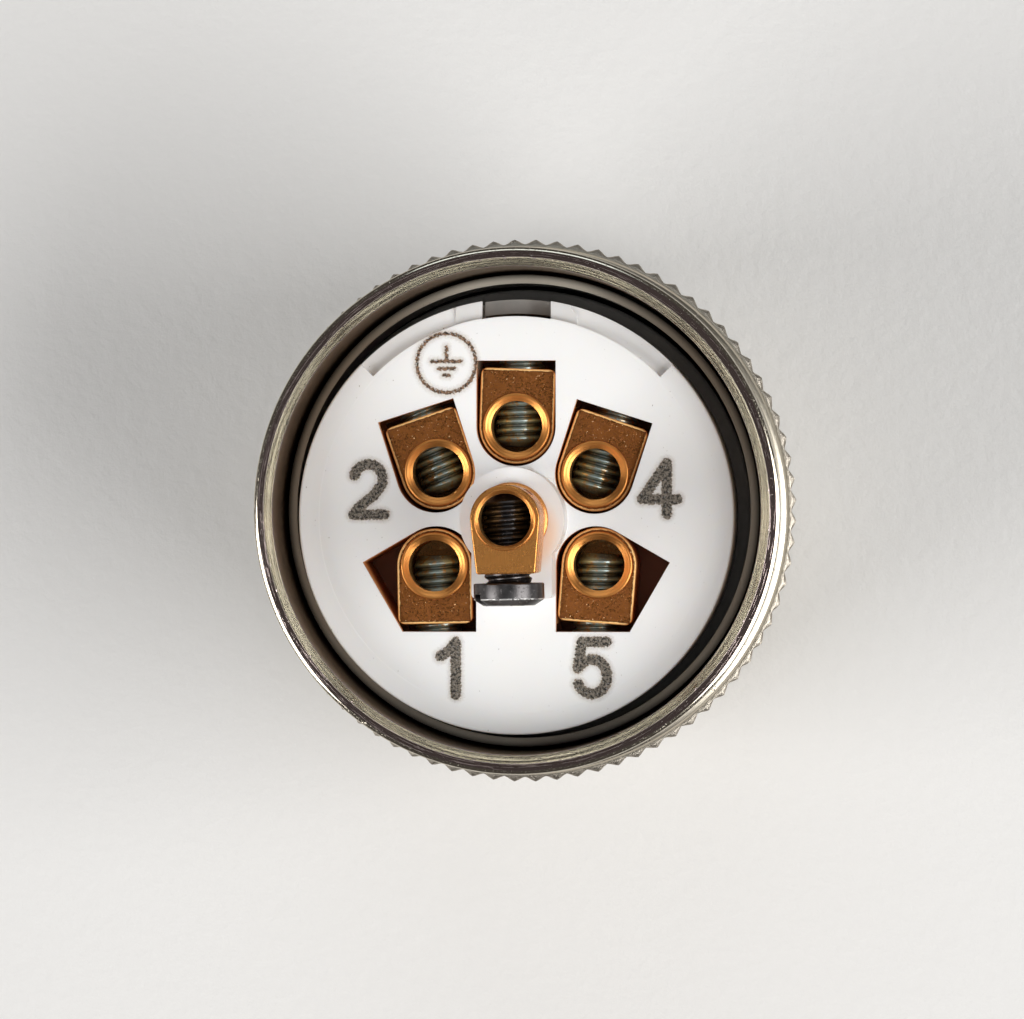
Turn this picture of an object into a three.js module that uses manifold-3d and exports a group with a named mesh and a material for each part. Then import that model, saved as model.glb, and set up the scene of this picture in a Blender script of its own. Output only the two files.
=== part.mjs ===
// A round metal power connector for a cable, shown without its cable clamp:
// a turned body with a knurled coupling nut, and inside it a white terminal insert
// with five brass screw terminals on a ring and a sixth raised on a hub in the centre.
//
// It stands on its mating end. +Z runs along the axis to the cable side, the origin is
// the middle of the mating end, and +Y points from the axis to the earth terminal.
// All sizes are in millimetres.

import * as THREE from 'three';
import { mergeVertices } from 'three/addons/utils/BufferGeometryUtils.js';
import Module from 'manifold-3d';

const wasm = await Module();
wasm.setup();

// ---------------------------------------------------------------- driving dimensions

// Heights along the axis, stacked from the mating end
const barrelLength = 11.6; // narrow front barrel that enters the mating connector
const bodyFloor = 1.4; // shoulder inside the body that carries the contact unit
const gasketThickness = 0.8;
const flangeThickness = 3.0; // flange of the contact carrier
const insertHeight = 6.6; // white terminal insert, without its hub
const sleeveHeight = 3.9; // black insulating sleeve around the insert
const rimAboveFace = 3.0; // rear rim of the body above the face of the insert
const cupHeight = 5.6; // full-width rear part of the body
const faceRecess = 1.6; // mating face of the carrier behind the end of the barrel
const seatGap = 0.15; // left between pieces stacked along the axis

// Radii, built up from the ring of terminals outwards
const ringRadius = 4.75; // circle through the five outer terminals
const pastRing = 6.38; // edge of the insert beyond that circle
const flangeStep = 2.13; // insert and flange stand out past the carrier in the barrel
const unitSlack = 0.45; // loose fit of the contact unit in the body and its sleeve
const barrelWall = 0.8;
const sleeveWall = 0.47;
const sleeveGap = 0.21;
const bodyWall = 0.6; // body wall beside the sleeve
const rimFlat = 0.44; // flat ring on the rear rim
const rimBevel = 0.4; // bevel outside the flat
const rimBevelDrop = 0.42;
const rimRound = 0.15; // rounding outside the bevel
const unitShift = [-0.2, -0.3]; // the loose contact unit lies this far off the axis

// Coupling nut
const nutRunGap = 0.1;
const nutWall = 0.69; // from the running bore to the foot of the knurl
const toothCount = 80;
const toothHeight = 0.26;
const toothTip = 0.2; // share of a tooth's pitch that is flat at its tip
const toothFoot = 0.2; // share that is flat at its foot
const nutShoulder = 1.0; // smooth collar above the knurl
const collarInset = 0.13; // collar's side inside the foot of the knurl
const collarRound = 0.35;
const knurlLength = 10.4;
const knurlBevel = 0.35;
const skirtStep = 0.75; // front skirt is this much thinner than the foot of the knurl
const nutFlange = 1.1; // inner flange that the snap ring holds
const matingGap = 1.0; // room around the barrel for the mating shell
const nutRelief = 0.45; // relief behind the thread
const nutStandoff = 0.3; // nut clear of the surface, and its play at each side
const edgeBreak = 0.25; // small chamfer on turned edges

// Rings in grooves
const grooveDepth = 0.4;
const snapRingHeight = 0.9;
const snapRingWidth = 1.15;
const snapRingOpening = 2.4;
const sealSection = 1.0; // diameter of the front sealing ring's section
const sealFromEnd = 5.6; // front sealing ring's lower side above the mating end
const brakeHeight = 0.7; // rubber ring between the body and the nut
const brakeProud = 0.03; // it stands this far out of its groove
const ringPlay = 0.05;

// Screw terminals
const ringShift = 0.15; // the ring's centre lies below the insert's centre
const blockR = 1.91; // round end and half width of a ring terminal's block
const blockReach = 2.96; // from the wire bore's axis to the flat end
const blockHeight = 4.4;
const blockCorner = 0.35;
const centreBlockR = 1.74; // the centre terminal's block is slimmer and tapers
const centreEndHalf = 1.47; // half width of its flat end
const centreReach = 2.7;
const centreCorner = 0.12;
const collarR = 1.88;
const collarHeight = 0.35;
const wireBoreR = 1.31;
const wireBoreDepth = 4.1;
const bossInset = 0.2; // turned ring around the wire bore, inside the round end
const bossHeight = 0.15;
const neckR = 1.4;
const trapHeight = 0.9; // shoulder held between the insert and the carrier
const socketR = 1.6;
const pinBoreR = 1.0; // takes a 2 mm contact pin
const pinBoreDepth = 8.0;
const slitWidth = 0.35; // spring slit in the socket
const slitLength = 5.0;

// Clamping screws
const screwR = 1.22;
const screwLength = 4.5; // under the head
const threadPlay = 0.06; // between the screw and its threaded hole
const tapPast = 1.45; // threaded hole past the wire bore's axis, into the far wall
const screwDrop = 2.25; // screw's axis below the top of the block
const headR = 1.77;
const headThickness = 1.14;
const headBevel = 0.32;
const headBevelWidth = 0.5;
const driverSlotWidth = 0.5;
const driverSlotDepth = 0.5;
const tipBevel = 0.25;

// Terminal insert
const pocketGap = 0.12; // around a block in its pocket
const pocketEndRoom = 0.4; // past the flat end of a block
const pocketDepth = 5.4;
const sideSlotRoom = 0.19; // past the flat end in the second slot of a wide pocket
const accessAbove = 0.1; // above a screw head in its side window
const accessBelow = 0.3;
const accessSideGap = 0.6; // beside it, for a block that lies askew
const neckGap = 0.2;
const edgeRound = 0.25;
const hubHeight = 3.2; // hub that lifts the centre terminal over the face
const hubR = 2.65;
const hubHalfWidth = 2.03;
const hubReach = 4.0;
const ledgeWidth = 0.88; // of the cut-away ledges, in from the edge
const ledgeDepth = 0.5; // floor of the ledges below the face, over the side windows
const ledgeFrom = 44; // degrees around the axis, from +X
const ledgeTo = 137;
const guideHalfWidth = 3.1; // the two guide blocks beside the key
const guideDrop = 0.35;
const keyHalfWidth = 1.6;
const keySweep = 30; // degrees to each side of the key, more than it takes
const keyGap = 0.16;
const keyDrop = 1.9; // top of the carrier's key below the face

// Contact carrier
const contactGap = 0.2; // lets the contacts float
const lipThickness = 0.8; // front wall that stops the sockets
const leadInR = 1.2;
const grooveHalfWidth = 0.55; // polarising grooves in the front edge
const polarDepth = 0.6;
const polarLength = 4.0;
const polarAngles = [90, 200, 340];

// Where each terminal stands: degrees of its place on the ring and how far inside the
// ring it lies, the way its screw faces, how far its loose block is turned and pushed
// aside in its pocket, and the gap left under its screw head
const ringTerminals = [
  { name: 'pe', place: 90, inset: 0, faces: 90, turned: -2, aside: [0, 0], headGap: 0.5 },
  { name: '2', place: 150, inset: 0, faces: 107.8, turned: 1, aside: [0.09, 0.04], headGap: 0.5 },
  { name: '1', place: 210, inset: 0, faces: 270, turned: 1, aside: [-0.1, 0], headGap: 1.0 },
  { name: '5', place: 330, inset: 0, faces: 270, turned: -4.5, aside: [0.1, 0.05], headGap: 0.95 },
  { name: '4', place: 30, inset: 0.12, faces: 72.2, turned: -1, aside: [0, 0], headGap: 0.5 },
];
// The pockets of these terminals also take a block that faces straight outwards
const wideTerminals = ['1', '5'];
const centreTerminal = {
  name: 'centre', faces: 270, turned: 1, aside: [0, 0], headGap: 0.47, centre: true,
};

// Facets around a full circle
const roundFacets = 40;
const smallFacets = 14;
const screwFacets = 12;
const arcSteps = 10; // along a part of a circle
const cornerSteps = 2;

// How far a cutting tool, or the root of a joined form, runs past a face
const overrun = 1;

// ---------------------------------------------------------------- worked-out sizes

const floorTop = barrelLength + bodyFloor;
const gasketBottom = floorTop + seatGap;
const flangeBottom = gasketBottom + gasketThickness + seatGap;
const flangeTop = flangeBottom + flangeThickness;
const insertBottom = flangeTop + seatGap;
const insertFace = insertBottom + insertHeight;
const rimTop = insertFace + rimAboveFace;
const cupBottom = rimTop - cupHeight;

const insertR = ringRadius + pastRing;
const carrierR = insertR - flangeStep;
const ledgeR = insertR - ledgeWidth;
const barrelBoreR = carrierR + unitSlack;
const barrelR = barrelBoreR + barrelWall;
const sleeveR = insertR + unitSlack + sleeveGap / 2;
const sleeveOuterR = sleeveR + sleeveWall;
const cupBoreR = sleeveOuterR + sleeveGap;
const flangeR = cupBoreR - unitSlack - sleeveGap / 2;
const bodyR = cupBoreR + bodyWall;
const rimFlatR = cupBoreR + rimFlat;
const rimR = rimFlatR + rimBevel + rimRound;

const nutBoreR = bodyR + nutRunGap;
const toothFootR = nutBoreR + nutWall;
const toothTipR = toothFootR + toothHeight;
const nutTop = cupBottom - nutStandoff;
const knurlTop = nutTop - nutShoulder;
const knurlBottom = knurlTop - knurlLength;
const skirtR = toothFootR - skirtStep;
const flangeCeiling = barrelLength - nutStandoff;
const nutFlangeBottom = flangeCeiling - nutFlange;
const nutFlangeR = barrelR + 2 * nutRunGap;
const threadR = barrelR + matingGap;
const snapRingTop = nutFlangeBottom - nutStandoff;
const snapRingBottom = snapRingTop - snapRingHeight;

const grooveFloorR = barrelR - grooveDepth;
const ringBlock = {
  radius: blockR, halfWidth: blockR, endHalf: blockR, reach: blockReach, corner: blockCorner,
};
const centreBlock = {
  radius: centreBlockR,
  halfWidth: centreBlockR,
  endHalf: centreEndHalf,
  reach: centreReach,
  corner: centreCorner,
};
const pocketHalfWidth = blockR + pocketGap;
const pocket = {
  radius: pocketHalfWidth,
  halfWidth: pocketHalfWidth,
  endHalf: pocketHalfWidth,
  reach: blockReach + pocketEndRoom,
  corner: 0,
};
const sideSlot = { ...pocket, reach: blockReach + sideSlotRoom };
const hub = {
  radius: hubR, halfWidth: hubHalfWidth, endHalf: hubHalfWidth, reach: hubReach, corner: edgeRound,
};
const pocketFloor = insertFace - pocketDepth;
const ringSeat = pocketFloor + seatGap;
const hubTop = insertFace + hubHeight;
const hubSeat = hubTop + seatGap;
const trapTop = insertBottom - seatGap;
const trapBottom = trapTop - trapHeight;
const carrierBoreFloor = faceRecess + lipThickness;

const degrees = THREE.MathUtils.degToRad;

// ---------------------------------------------------------------- solids and cuts

function asSolid(geometry) {
  const bare = geometry.clone();
  bare.deleteAttribute('normal');
  bare.deleteAttribute('uv');
  const merged = mergeVertices(bare, 1e-4);
  const corners = merged.index.array;
  const kept = [];
  for (let i = 0; i < corners.length; i += 3) {
    const [a, b, c] = [corners[i], corners[i + 1], corners[i + 2]];
    if (a !== b && b !== c && c !== a) {
      kept.push(a, b, c);
    }
  }
  const vertProperties = new Float32Array(merged.attributes.position.array);
  const triVerts = new Uint32Array(kept);
  return new wasm.Manifold(new wasm.Mesh({ numProp: 3, vertProperties, triVerts }));
}

function asGeometry(solid) {
  const mesh = solid.getMesh();
  const geometry = new THREE.BufferGeometry();
  geometry.setAttribute('position', new THREE.BufferAttribute(mesh.vertProperties, 3));
  geometry.setIndex(new THREE.BufferAttribute(mesh.triVerts, 1));
  geometry.computeVertexNormals();
  return geometry;
}

function joined(first, ...rest) {
  return rest.reduce((sum, solid) => sum.add(solid), first);
}

function cut(first, ...tools) {
  return tools.reduce((left, tool) => left.subtract(tool), first);
}

// A ring turned about Z from a closed section of [radius, height] points that runs
// up its outer side and down its inner side
function turned(section, facets = roundFacets) {
  const points = section.map(([radius, height]) => new THREE.Vector2(radius, height));
  points.push(points[0].clone());
  const geometry = new THREE.LatheGeometry(points, facets);
  geometry.rotateX(Math.PI / 2);
  return asSolid(geometry);
}

// A round bar along Z from the lower to the upper height
function bar(radius, lower, upper, facets = smallFacets) {
  const geometry = new THREE.CylinderGeometry(radius, radius, upper - lower, facets);
  geometry.rotateX(Math.PI / 2);
  geometry.translate(0, 0, (lower + upper) / 2);
  return asSolid(geometry);
}

// A round bar along X, from start to end, on a height above the origin
function barAlongX(radius, start, end, height, facets = smallFacets) {
  const geometry = new THREE.CylinderGeometry(radius, radius, end - start, facets);
  geometry.rotateZ(Math.PI / 2);
  geometry.translate((start + end) / 2, 0, height);
  return asSolid(geometry);
}

function block(fromX, toX, fromY, toY, lower, upper) {
  const geometry = new THREE.BoxGeometry(toX - fromX, toY - fromY, upper - lower);
  geometry.translate((fromX + toX) / 2, (fromY + toY) / 2, (lower + upper) / 2);
  return asSolid(geometry);
}

function extruded(points, lower, upper) {
  const shape = new THREE.Shape(points);
  const geometry = new THREE.ExtrudeGeometry(shape, {
    depth: upper - lower,
    bevelEnabled: false,
  });
  geometry.translate(0, 0, lower);
  return asSolid(geometry);
}

// Points on an arc from one angle to another, in degrees
function arc(centreX, centreY, radius, from, to, steps) {
  const points = [];
  for (let i = 0; i <= steps; i += 1) {
    const angle = degrees(from + ((to - from) * i) / steps);
    points.push(new THREE.Vector2(
      centreX + radius * Math.cos(angle),
      centreY + radius * Math.sin(angle),
    ));
  }
  return points;
}

// The outline shared by terminal blocks, their pockets and the hub: round about the
// origin on the -X side, straight sides, and a flat end towards +X
function bluntOutline({ radius, halfWidth, endHalf, reach, corner }) {
  const side = (Math.asin(halfWidth / radius) * 180) / Math.PI;
  const points = arc(0, 0, radius, side, 360 - side, arcSteps);
  if (corner === 0) {
    points.push(new THREE.Vector2(reach, -endHalf));
    points.push(new THREE.Vector2(reach, endHalf));
    return points;
  }
  points.push(...arc(reach - corner, corner - endHalf, corner, -90, 0, cornerSteps));
  points.push(...arc(reach - corner, endHalf - corner, corner, 0, 90, cornerSteps));
  return points;
}

function bluntBar(form, lower, upper) {
  return extruded(bluntOutline(form), lower, upper);
}

// Part of a ring between two radii and two angles
function ringSector(innerR, outerR, from, to, lower, upper) {
  const outer = arc(0, 0, outerR, from, to, arcSteps);
  const inner = arc(0, 0, innerR, to, from, arcSteps);
  return extruded([...outer, ...inner], lower, upper);
}

// A bar along Z at the earth side, curved inside and outside and straight at its sides
function curvedBar(innerR, outerR, halfWidth, lower, upper) {
  const sector = ringSector(innerR, outerR, 90 - keySweep, 90 + keySweep, lower, upper);
  return sector.intersect(block(-halfWidth, halfWidth, 0, outerR, lower, upper));
}

// Section points that round an outer top edge, from its side to its top
function topEdge(radius, height, size) {
  const points = arc(radius - size, height - size, size, 0, 90, cornerSteps);
  return points.map((point) => [point.x, point.y]);
}

function spun(solid, angle) {
  return solid.rotate([0, 0, angle]);
}

function moved(solid, x, y, z) {
  return solid.translate([x, y, z]);
}

// ---------------------------------------------------------------- metal body

function connectorBody() {
  const sealGrooveTop = sealFromEnd + sealSection + 2 * ringPlay;
  const snapGrooveBottom = snapRingBottom - ringPlay;
  const snapGrooveTop = snapRingTop + ringPlay;
  const brakeBottom = barrelLength + edgeBreak + ringPlay;
  const brakeTop = brakeBottom + brakeHeight + 2 * ringPlay;
  const section = [
    [barrelR - edgeBreak, 0],
    [barrelR, edgeBreak],
    [barrelR, sealFromEnd],
    [grooveFloorR, sealFromEnd],
    [grooveFloorR, sealGrooveTop],
    [barrelR, sealGrooveTop],
    [barrelR, snapGrooveBottom],
    [grooveFloorR, snapGrooveBottom],
    [grooveFloorR, snapGrooveTop],
    [barrelR, snapGrooveTop],
    [barrelR, barrelLength],
    [bodyR - edgeBreak, barrelLength],
    [bodyR, barrelLength + edgeBreak],
    [bodyR, brakeBottom],
    [bodyR - grooveDepth, brakeBottom],
    [bodyR - grooveDepth, brakeTop],
    [bodyR, brakeTop],
    [bodyR, cupBottom],
    [rimR - edgeBreak, cupBottom],
    [rimR, cupBottom + edgeBreak],
    ...topEdge(rimR, rimTop - rimBevelDrop, rimRound),
    [rimFlatR, rimTop],
    [cupBoreR, rimTop],
    [cupBoreR, floorTop],
    [barrelBoreR, floorTop],
    [barrelBoreR, 0],
  ];
  return turned(section);
}

// ---------------------------------------------------------------- coupling nut

function toothOutline() {
  const pitch = 360 / toothCount;
  const footHalf = (pitch * toothFoot) / 2;
  const tipHalf = (pitch * toothTip) / 2;
  const points = [];
  for (let i = 0; i < toothCount; i += 1) {
    const foot = i * pitch;
    const tip = foot + pitch / 2;
    points.push(...arc(0, 0, toothFootR, foot - footHalf, foot + footHalf, 1));
    points.push(...arc(0, 0, toothTipR, tip - tipHalf, tip + tipHalf, 1));
  }
  return points;
}

function knurledBand() {
  const teeth = extruded(toothOutline(), knurlBottom, knurlTop);
  const bevelFootR = toothTipR - knurlBevel;
  const envelope = turned([
    [bevelFootR, knurlBottom],
    [toothTipR + knurlBevel, knurlBottom + 2 * knurlBevel],
    [toothTipR + knurlBevel, knurlTop - 2 * knurlBevel],
    [bevelFootR, knurlTop],
    [nutBoreR + nutRunGap, knurlTop],
    [nutBoreR + nutRunGap, knurlBottom],
  ], toothCount);
  return teeth.intersect(envelope);
}

function couplingNut() {
  const collarOuterR = toothFootR - collarInset;
  const reliefBottom = snapRingBottom - nutStandoff;
  const core = turned([
    [threadR + edgeBreak, nutStandoff],
    [skirtR - 2 * edgeBreak, nutStandoff],
    [skirtR, nutStandoff + 2 * edgeBreak],
    [skirtR, knurlBottom - edgeBreak],
    [collarOuterR, knurlBottom + edgeBreak],
    ...topEdge(collarOuterR, nutTop, collarRound),
    [nutBoreR, nutTop],
    [nutBoreR, flangeCeiling],
    [nutFlangeR, flangeCeiling],
    [nutFlangeR, nutFlangeBottom],
    [threadR + nutRelief, nutFlangeBottom],
    [threadR + nutRelief, reliefBottom],
    [threadR, reliefBottom],
    [threadR, nutStandoff + edgeBreak],
  ]);
  return joined(core, knurledBand());
}

function snapRing() {
  const innerR = grooveFloorR + ringPlay;
  const ring = turned([
    [innerR + snapRingWidth, snapRingBottom],
    [innerR + snapRingWidth, snapRingTop],
    [innerR, snapRingTop],
    [innerR, snapRingBottom],
  ]);
  const half = snapRingOpening / 2;
  const opening = block(
    -half, half, 0, innerR + 2 * snapRingWidth, snapRingBottom - overrun, snapRingTop + overrun,
  );
  return cut(ring, opening);
}

function brakeRing() {
  const bottom = barrelLength + edgeBreak + 2 * ringPlay;
  const innerR = bodyR - grooveDepth + ringPlay;
  const outerR = bodyR + brakeProud;
  return turned([
    [outerR, bottom],
    [outerR, bottom + brakeHeight],
    [innerR, bottom + brakeHeight],
    [innerR, bottom],
  ]);
}

function sealRing() {
  const half = sealSection / 2;
  const middleR = grooveFloorR + ringPlay + half;
  const middleZ = sealFromEnd + ringPlay + half;
  const section = arc(middleR, middleZ, half, 0, 300, 5);
  return turned(section.map((point) => [point.x, point.y]));
}

// ---------------------------------------------------------------- inside the body

function bodyGasket() {
  const innerR = barrelBoreR + ringPlay;
  const outerR = cupBoreR - ringPlay;
  return turned([
    [outerR, gasketBottom],
    [outerR, gasketBottom + gasketThickness],
    [innerR, gasketBottom + gasketThickness],
    [innerR, gasketBottom],
  ]);
}

function insulatingSleeve() {
  const bottom = flangeTop + seatGap;
  const top = bottom + sleeveHeight;
  return turned([
    [sleeveOuterR, bottom],
    [sleeveOuterR, top],
    [sleeveR, top],
    [sleeveR, bottom],
  ]);
}

// Middle of a terminal's pocket, in the frame of the contact unit
function terminalPlace(terminal) {
  if (terminal.centre) {
    return [0, -ringShift];
  }
  const angle = degrees(terminal.place);
  const radius = ringRadius - terminal.inset;
  return [radius * Math.cos(angle), radius * Math.sin(angle) - ringShift];
}

const allTerminals = [...ringTerminals, centreTerminal];

// ---------------------------------------------------------------- terminal insert

function ledgeCuts() {
  const outerR = insertR + overrun;
  const above = insertFace + overrun;
  const sector = (lower) => ringSector(ledgeR, outerR, ledgeFrom, ledgeTo, lower, above);
  const guides = block(-guideHalfWidth, guideHalfWidth, 0, outerR, insertBottom, above);
  const ledges = cut(sector(insertFace - ledgeDepth), guides);
  const guideTops = sector(insertFace - guideDrop);
  const keyWay = curvedBar(
    ledgeR, outerR, keyHalfWidth + keyGap, insertBottom - overrun, above,
  );
  return [ledges, guideTops, keyWay];
}

// The hollow of a pocket that also takes its block facing outwards: the second slot
// is added, the side next to the hub is cut flush with it, and the corner past the
// slot's end stays
function widePocket(terminal, plain) {
  const [x] = terminalPlace(terminal);
  const top = insertFace + overrun;
  const slot = bluntBar(sideSlot, pocketFloor, top);
  const inward = Math.abs(x) - hubHalfWidth - pocketHalfWidth;
  const widened = moved(plain, -Math.sign(x) * inward, 0, 0);
  const far = 2 * pocket.reach;
  const beyond = block(sideSlot.reach, far, -far, far, pocketFloor - overrun, top + overrun);
  const wide = joined(plain, widened, spun(slot, terminal.place));
  return cut(wide, spun(beyond, terminal.place));
}

// One pocket, opening at the face, with its screw's side window and its neck hole
function pocketCuts(terminal) {
  const [x, y] = terminalPlace(terminal);
  const plain = spun(bluntBar(pocket, pocketFloor, insertFace + overrun), terminal.faces);
  const wide = wideTerminals.includes(terminal.name);
  const hollow = wide ? widePocket(terminal, plain) : plain;
  const screwHeight = ringSeat + collarHeight + blockHeight - screwDrop;
  const halfWidth = headR + accessSideGap;
  const window = block(
    blockReach, insertR, -halfWidth, halfWidth,
    screwHeight - headR - accessBelow, screwHeight + headR + accessAbove,
  );
  const neck = bar(neckR + neckGap, insertBottom - overrun, pocketFloor + overrun);
  const cuts = [hollow, spun(window, terminal.faces), neck];
  return cuts.map((solid) => moved(solid, x, y, 0));
}

function insertBlank() {
  const disc = turned([
    [0, insertBottom],
    [insertR - edgeRound, insertBottom],
    [insertR, insertBottom + edgeRound],
    ...topEdge(insertR, insertFace, edgeRound),
    [0, insertFace],
  ]);
  return cut(disc, ...ledgeCuts());
}

function terminalInsert() {
  const [x, y] = terminalPlace(centreTerminal);
  const raised = spun(bluntBar(hub, insertFace - overrun, hubTop), centreTerminal.faces);
  const neck = bar(neckR + neckGap, insertBottom - overrun, hubTop + overrun);
  const pocketed = cut(insertBlank(), ...ringTerminals.flatMap(pocketCuts));
  return cut(joined(pocketed, moved(raised, x, y, 0)), moved(neck, x, y, 0));
}

// ---------------------------------------------------------------- contact carrier

function contactHole(terminal) {
  const [x, y] = terminalPlace(terminal);
  const above = flangeTop + overrun;
  const shoulder = bar(collarR + contactGap, trapBottom - seatGap, above);
  const bore = bar(socketR + contactGap, carrierBoreFloor, above);
  const leadIn = bar(leadInR, faceRecess - overrun, carrierBoreFloor + overrun);
  return moved(joined(shoulder, bore, leadIn), x, y, 0);
}

function polarGroove(angle) {
  const groove = block(
    carrierR - polarDepth, carrierR + overrun, -grooveHalfWidth, grooveHalfWidth,
    faceRecess - overrun, faceRecess + polarLength,
  );
  return spun(groove, angle);
}

function contactCarrier() {
  const blank = turned([
    [0, faceRecess],
    [carrierR - edgeBreak, faceRecess],
    [carrierR, faceRecess + edgeBreak],
    [carrierR, flangeBottom],
    [flangeR, flangeBottom],
    [flangeR, flangeTop],
    [0, flangeTop],
  ]);
  const key = curvedBar(
    ledgeR + keyGap, insertR, keyHalfWidth, flangeTop - overrun, insertFace - keyDrop,
  );
  const holes = allTerminals.map(contactHole);
  const grooves = polarAngles.map(polarGroove);
  return cut(joined(blank, key), ...holes, ...grooves);
}

// ---------------------------------------------------------------- brass contacts

// Built with its wire bore on the Z axis and its screw side towards +X
function contact(terminal) {
  const seat = terminal.centre ? hubSeat : ringSeat;
  const form = terminal.centre ? centreBlock : ringBlock;
  const blockBottom = seat + collarHeight;
  const top = blockBottom + blockHeight;
  const socketBottom = carrierBoreFloor + seatGap;
  const body = bluntBar(form, blockBottom, top);
  const stem = turned([
    [0, socketBottom],
    [socketR, socketBottom],
    [socketR, trapBottom],
    [collarR, trapBottom],
    [collarR, trapTop],
    [neckR, trapTop],
    [neckR, seat],
    [collarR, seat],
    [collarR, blockBottom],
    [form.radius - bossInset, blockBottom],
    [form.radius - bossInset, top + bossHeight],
    [0, top + bossHeight],
  ], smallFacets);
  const wireBore = bar(wireBoreR, top - wireBoreDepth, top + overrun);
  const threaded = barAlongX(
    screwR + threadPlay, -tapPast, form.reach + overrun, top - screwDrop, screwFacets,
  );
  const pinBore = bar(pinBoreR, socketBottom - overrun, socketBottom + pinBoreDepth);
  const slit = block(
    -collarR, collarR, -slitWidth / 2, slitWidth / 2,
    socketBottom - overrun, socketBottom + slitLength,
  );
  return cut(joined(body, stem), wireBore, threaded, pinBore, slit);
}

// The screw for a block: its axis is X, and X = 0 is the wire bore's axis
function clampScrew(terminal) {
  const reach = terminal.centre ? centreReach : blockReach;
  const underHead = reach + terminal.headGap;
  const tip = underHead - screwLength;
  const headEnd = underHead + headThickness;
  const body = turned([
    [0, tip],
    [screwR - tipBevel, tip],
    [screwR, tip + tipBevel],
    [screwR, underHead],
    [headR, underHead],
    [headR, headEnd - headBevel],
    [headR - headBevelWidth, headEnd],
    [0, headEnd],
  ].reverse().map(([radius, height]) => [radius, -height]), screwFacets);
  const slot = block(
    -headR, headR, -driverSlotWidth / 2, driverSlotWidth / 2,
    -headEnd - overrun, -headEnd + driverSlotDepth,
  );
  return cut(body, slot).rotate([0, -90, 0]);
}

// ---------------------------------------------------------------- materials and assembly

const finishes = {
  nickel: { color: 0x9c9588, roughness: 0.28, metalness: 1.0 },
  springSteel: { color: 0x6f7276, roughness: 0.35, metalness: 1.0 },
  darkSteel: { color: 0x3c3d40, roughness: 0.38, metalness: 1.0 },
  brass: { color: 0xb87a3c, roughness: 0.34, metalness: 1.0 },
  whitePlastic: { color: 0xebebe8, roughness: 0.45, metalness: 0.0 },
  greyPlastic: { color: 0x57534e, roughness: 0.5, metalness: 0.0 },
  blackPlastic: { color: 0x1f1d1b, roughness: 0.32, metalness: 0.0 },
  blackRubber: { color: 0x161616, roughness: 0.7, metalness: 0.0 },
};

function piece(name, solid, finish) {
  const material = new THREE.MeshStandardMaterial(finishes[finish]);
  const mesh = new THREE.Mesh(asGeometry(solid), material);
  mesh.name = name;
  return mesh;
}

// A contact and its screw, turned and placed together
function terminalGroup(terminal) {
  const group = new THREE.Group();
  const seat = terminal.centre ? hubSeat : ringSeat;
  const screw = piece(`clamp_screw_${terminal.name}`, clampScrew(terminal), 'darkSteel');
  screw.position.z = seat + collarHeight + blockHeight - screwDrop;
  group.add(piece(`contact_${terminal.name}`, contact(terminal), 'brass'), screw);
  const [x, y] = terminalPlace(terminal);
  group.position.set(x + terminal.aside[0], y + terminal.aside[1], 0);
  group.rotation.z = degrees(terminal.faces + terminal.turned);
  return group;
}

const contactUnit = new THREE.Group();
contactUnit.position.set(...unitShift, 0);
contactUnit.add(
  piece('terminal_insert', terminalInsert(), 'whitePlastic'),
  piece('contact_carrier', contactCarrier(), 'greyPlastic'),
  ...allTerminals.map(terminalGroup),
);

const connector = new THREE.Group();
connector.add(
  piece('connector_body', connectorBody(), 'nickel'),
  piece('coupling_nut', couplingNut(), 'nickel'),
  piece('nut_snap_ring', snapRing(), 'springSteel'),
  piece('nut_brake_ring', brakeRing(), 'blackRubber'),
  piece('front_seal_ring', sealRing(), 'blackRubber'),
  piece('body_gasket', bodyGasket(), 'blackRubber'),
  piece('insulating_sleeve', insulatingSleeve(), 'blackPlastic'),
  contactUnit,
);

export default connector;
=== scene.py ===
import math
from contextlib import contextmanager

import bmesh
import bpy
import numpy as np
from bpy.props import FloatProperty, FloatVectorProperty, IntProperty, PointerProperty
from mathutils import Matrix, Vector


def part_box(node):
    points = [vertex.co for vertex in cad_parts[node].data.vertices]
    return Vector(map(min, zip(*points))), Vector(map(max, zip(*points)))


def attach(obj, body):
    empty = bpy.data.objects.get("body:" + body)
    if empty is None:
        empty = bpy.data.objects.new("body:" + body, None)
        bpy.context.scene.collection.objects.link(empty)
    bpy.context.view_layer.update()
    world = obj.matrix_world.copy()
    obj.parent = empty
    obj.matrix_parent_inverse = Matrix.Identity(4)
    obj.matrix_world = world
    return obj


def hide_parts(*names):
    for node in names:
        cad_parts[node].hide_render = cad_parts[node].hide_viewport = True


bl_info = {
    "name": "Round cable connector",
    "version": (1, 0, 0),
    "blender": (4, 5, 0),
    "location": "3D View > Sidebar > Connector",
    "description": "A round metal cable connector with six screw terminals, seen from its cable side",
    "category": "Object",
}

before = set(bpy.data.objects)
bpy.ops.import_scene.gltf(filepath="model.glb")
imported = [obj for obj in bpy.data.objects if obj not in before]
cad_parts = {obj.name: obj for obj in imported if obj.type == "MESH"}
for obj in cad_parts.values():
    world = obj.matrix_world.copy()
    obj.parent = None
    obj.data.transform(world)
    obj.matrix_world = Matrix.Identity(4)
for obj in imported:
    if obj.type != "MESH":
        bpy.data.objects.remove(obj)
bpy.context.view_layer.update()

MM = 0.001
ROUND = 240  # corners around a large turned piece
SMALL_ROUND = 72
FINE = 1e-7

TERMINALS = {  # name: way the screw faces and turn of its slot, in degrees
    "pe": (88.0, 20.0),
    "2": (108.8, -35.0),
    "1": (271.0, 40.0),
    "5": (265.5, 10.0),
    "4": (71.2, 65.0),
    "centre": (271.0, 60.0),
}


# ------------------------------------------------------------------ sizes and colours


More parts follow.
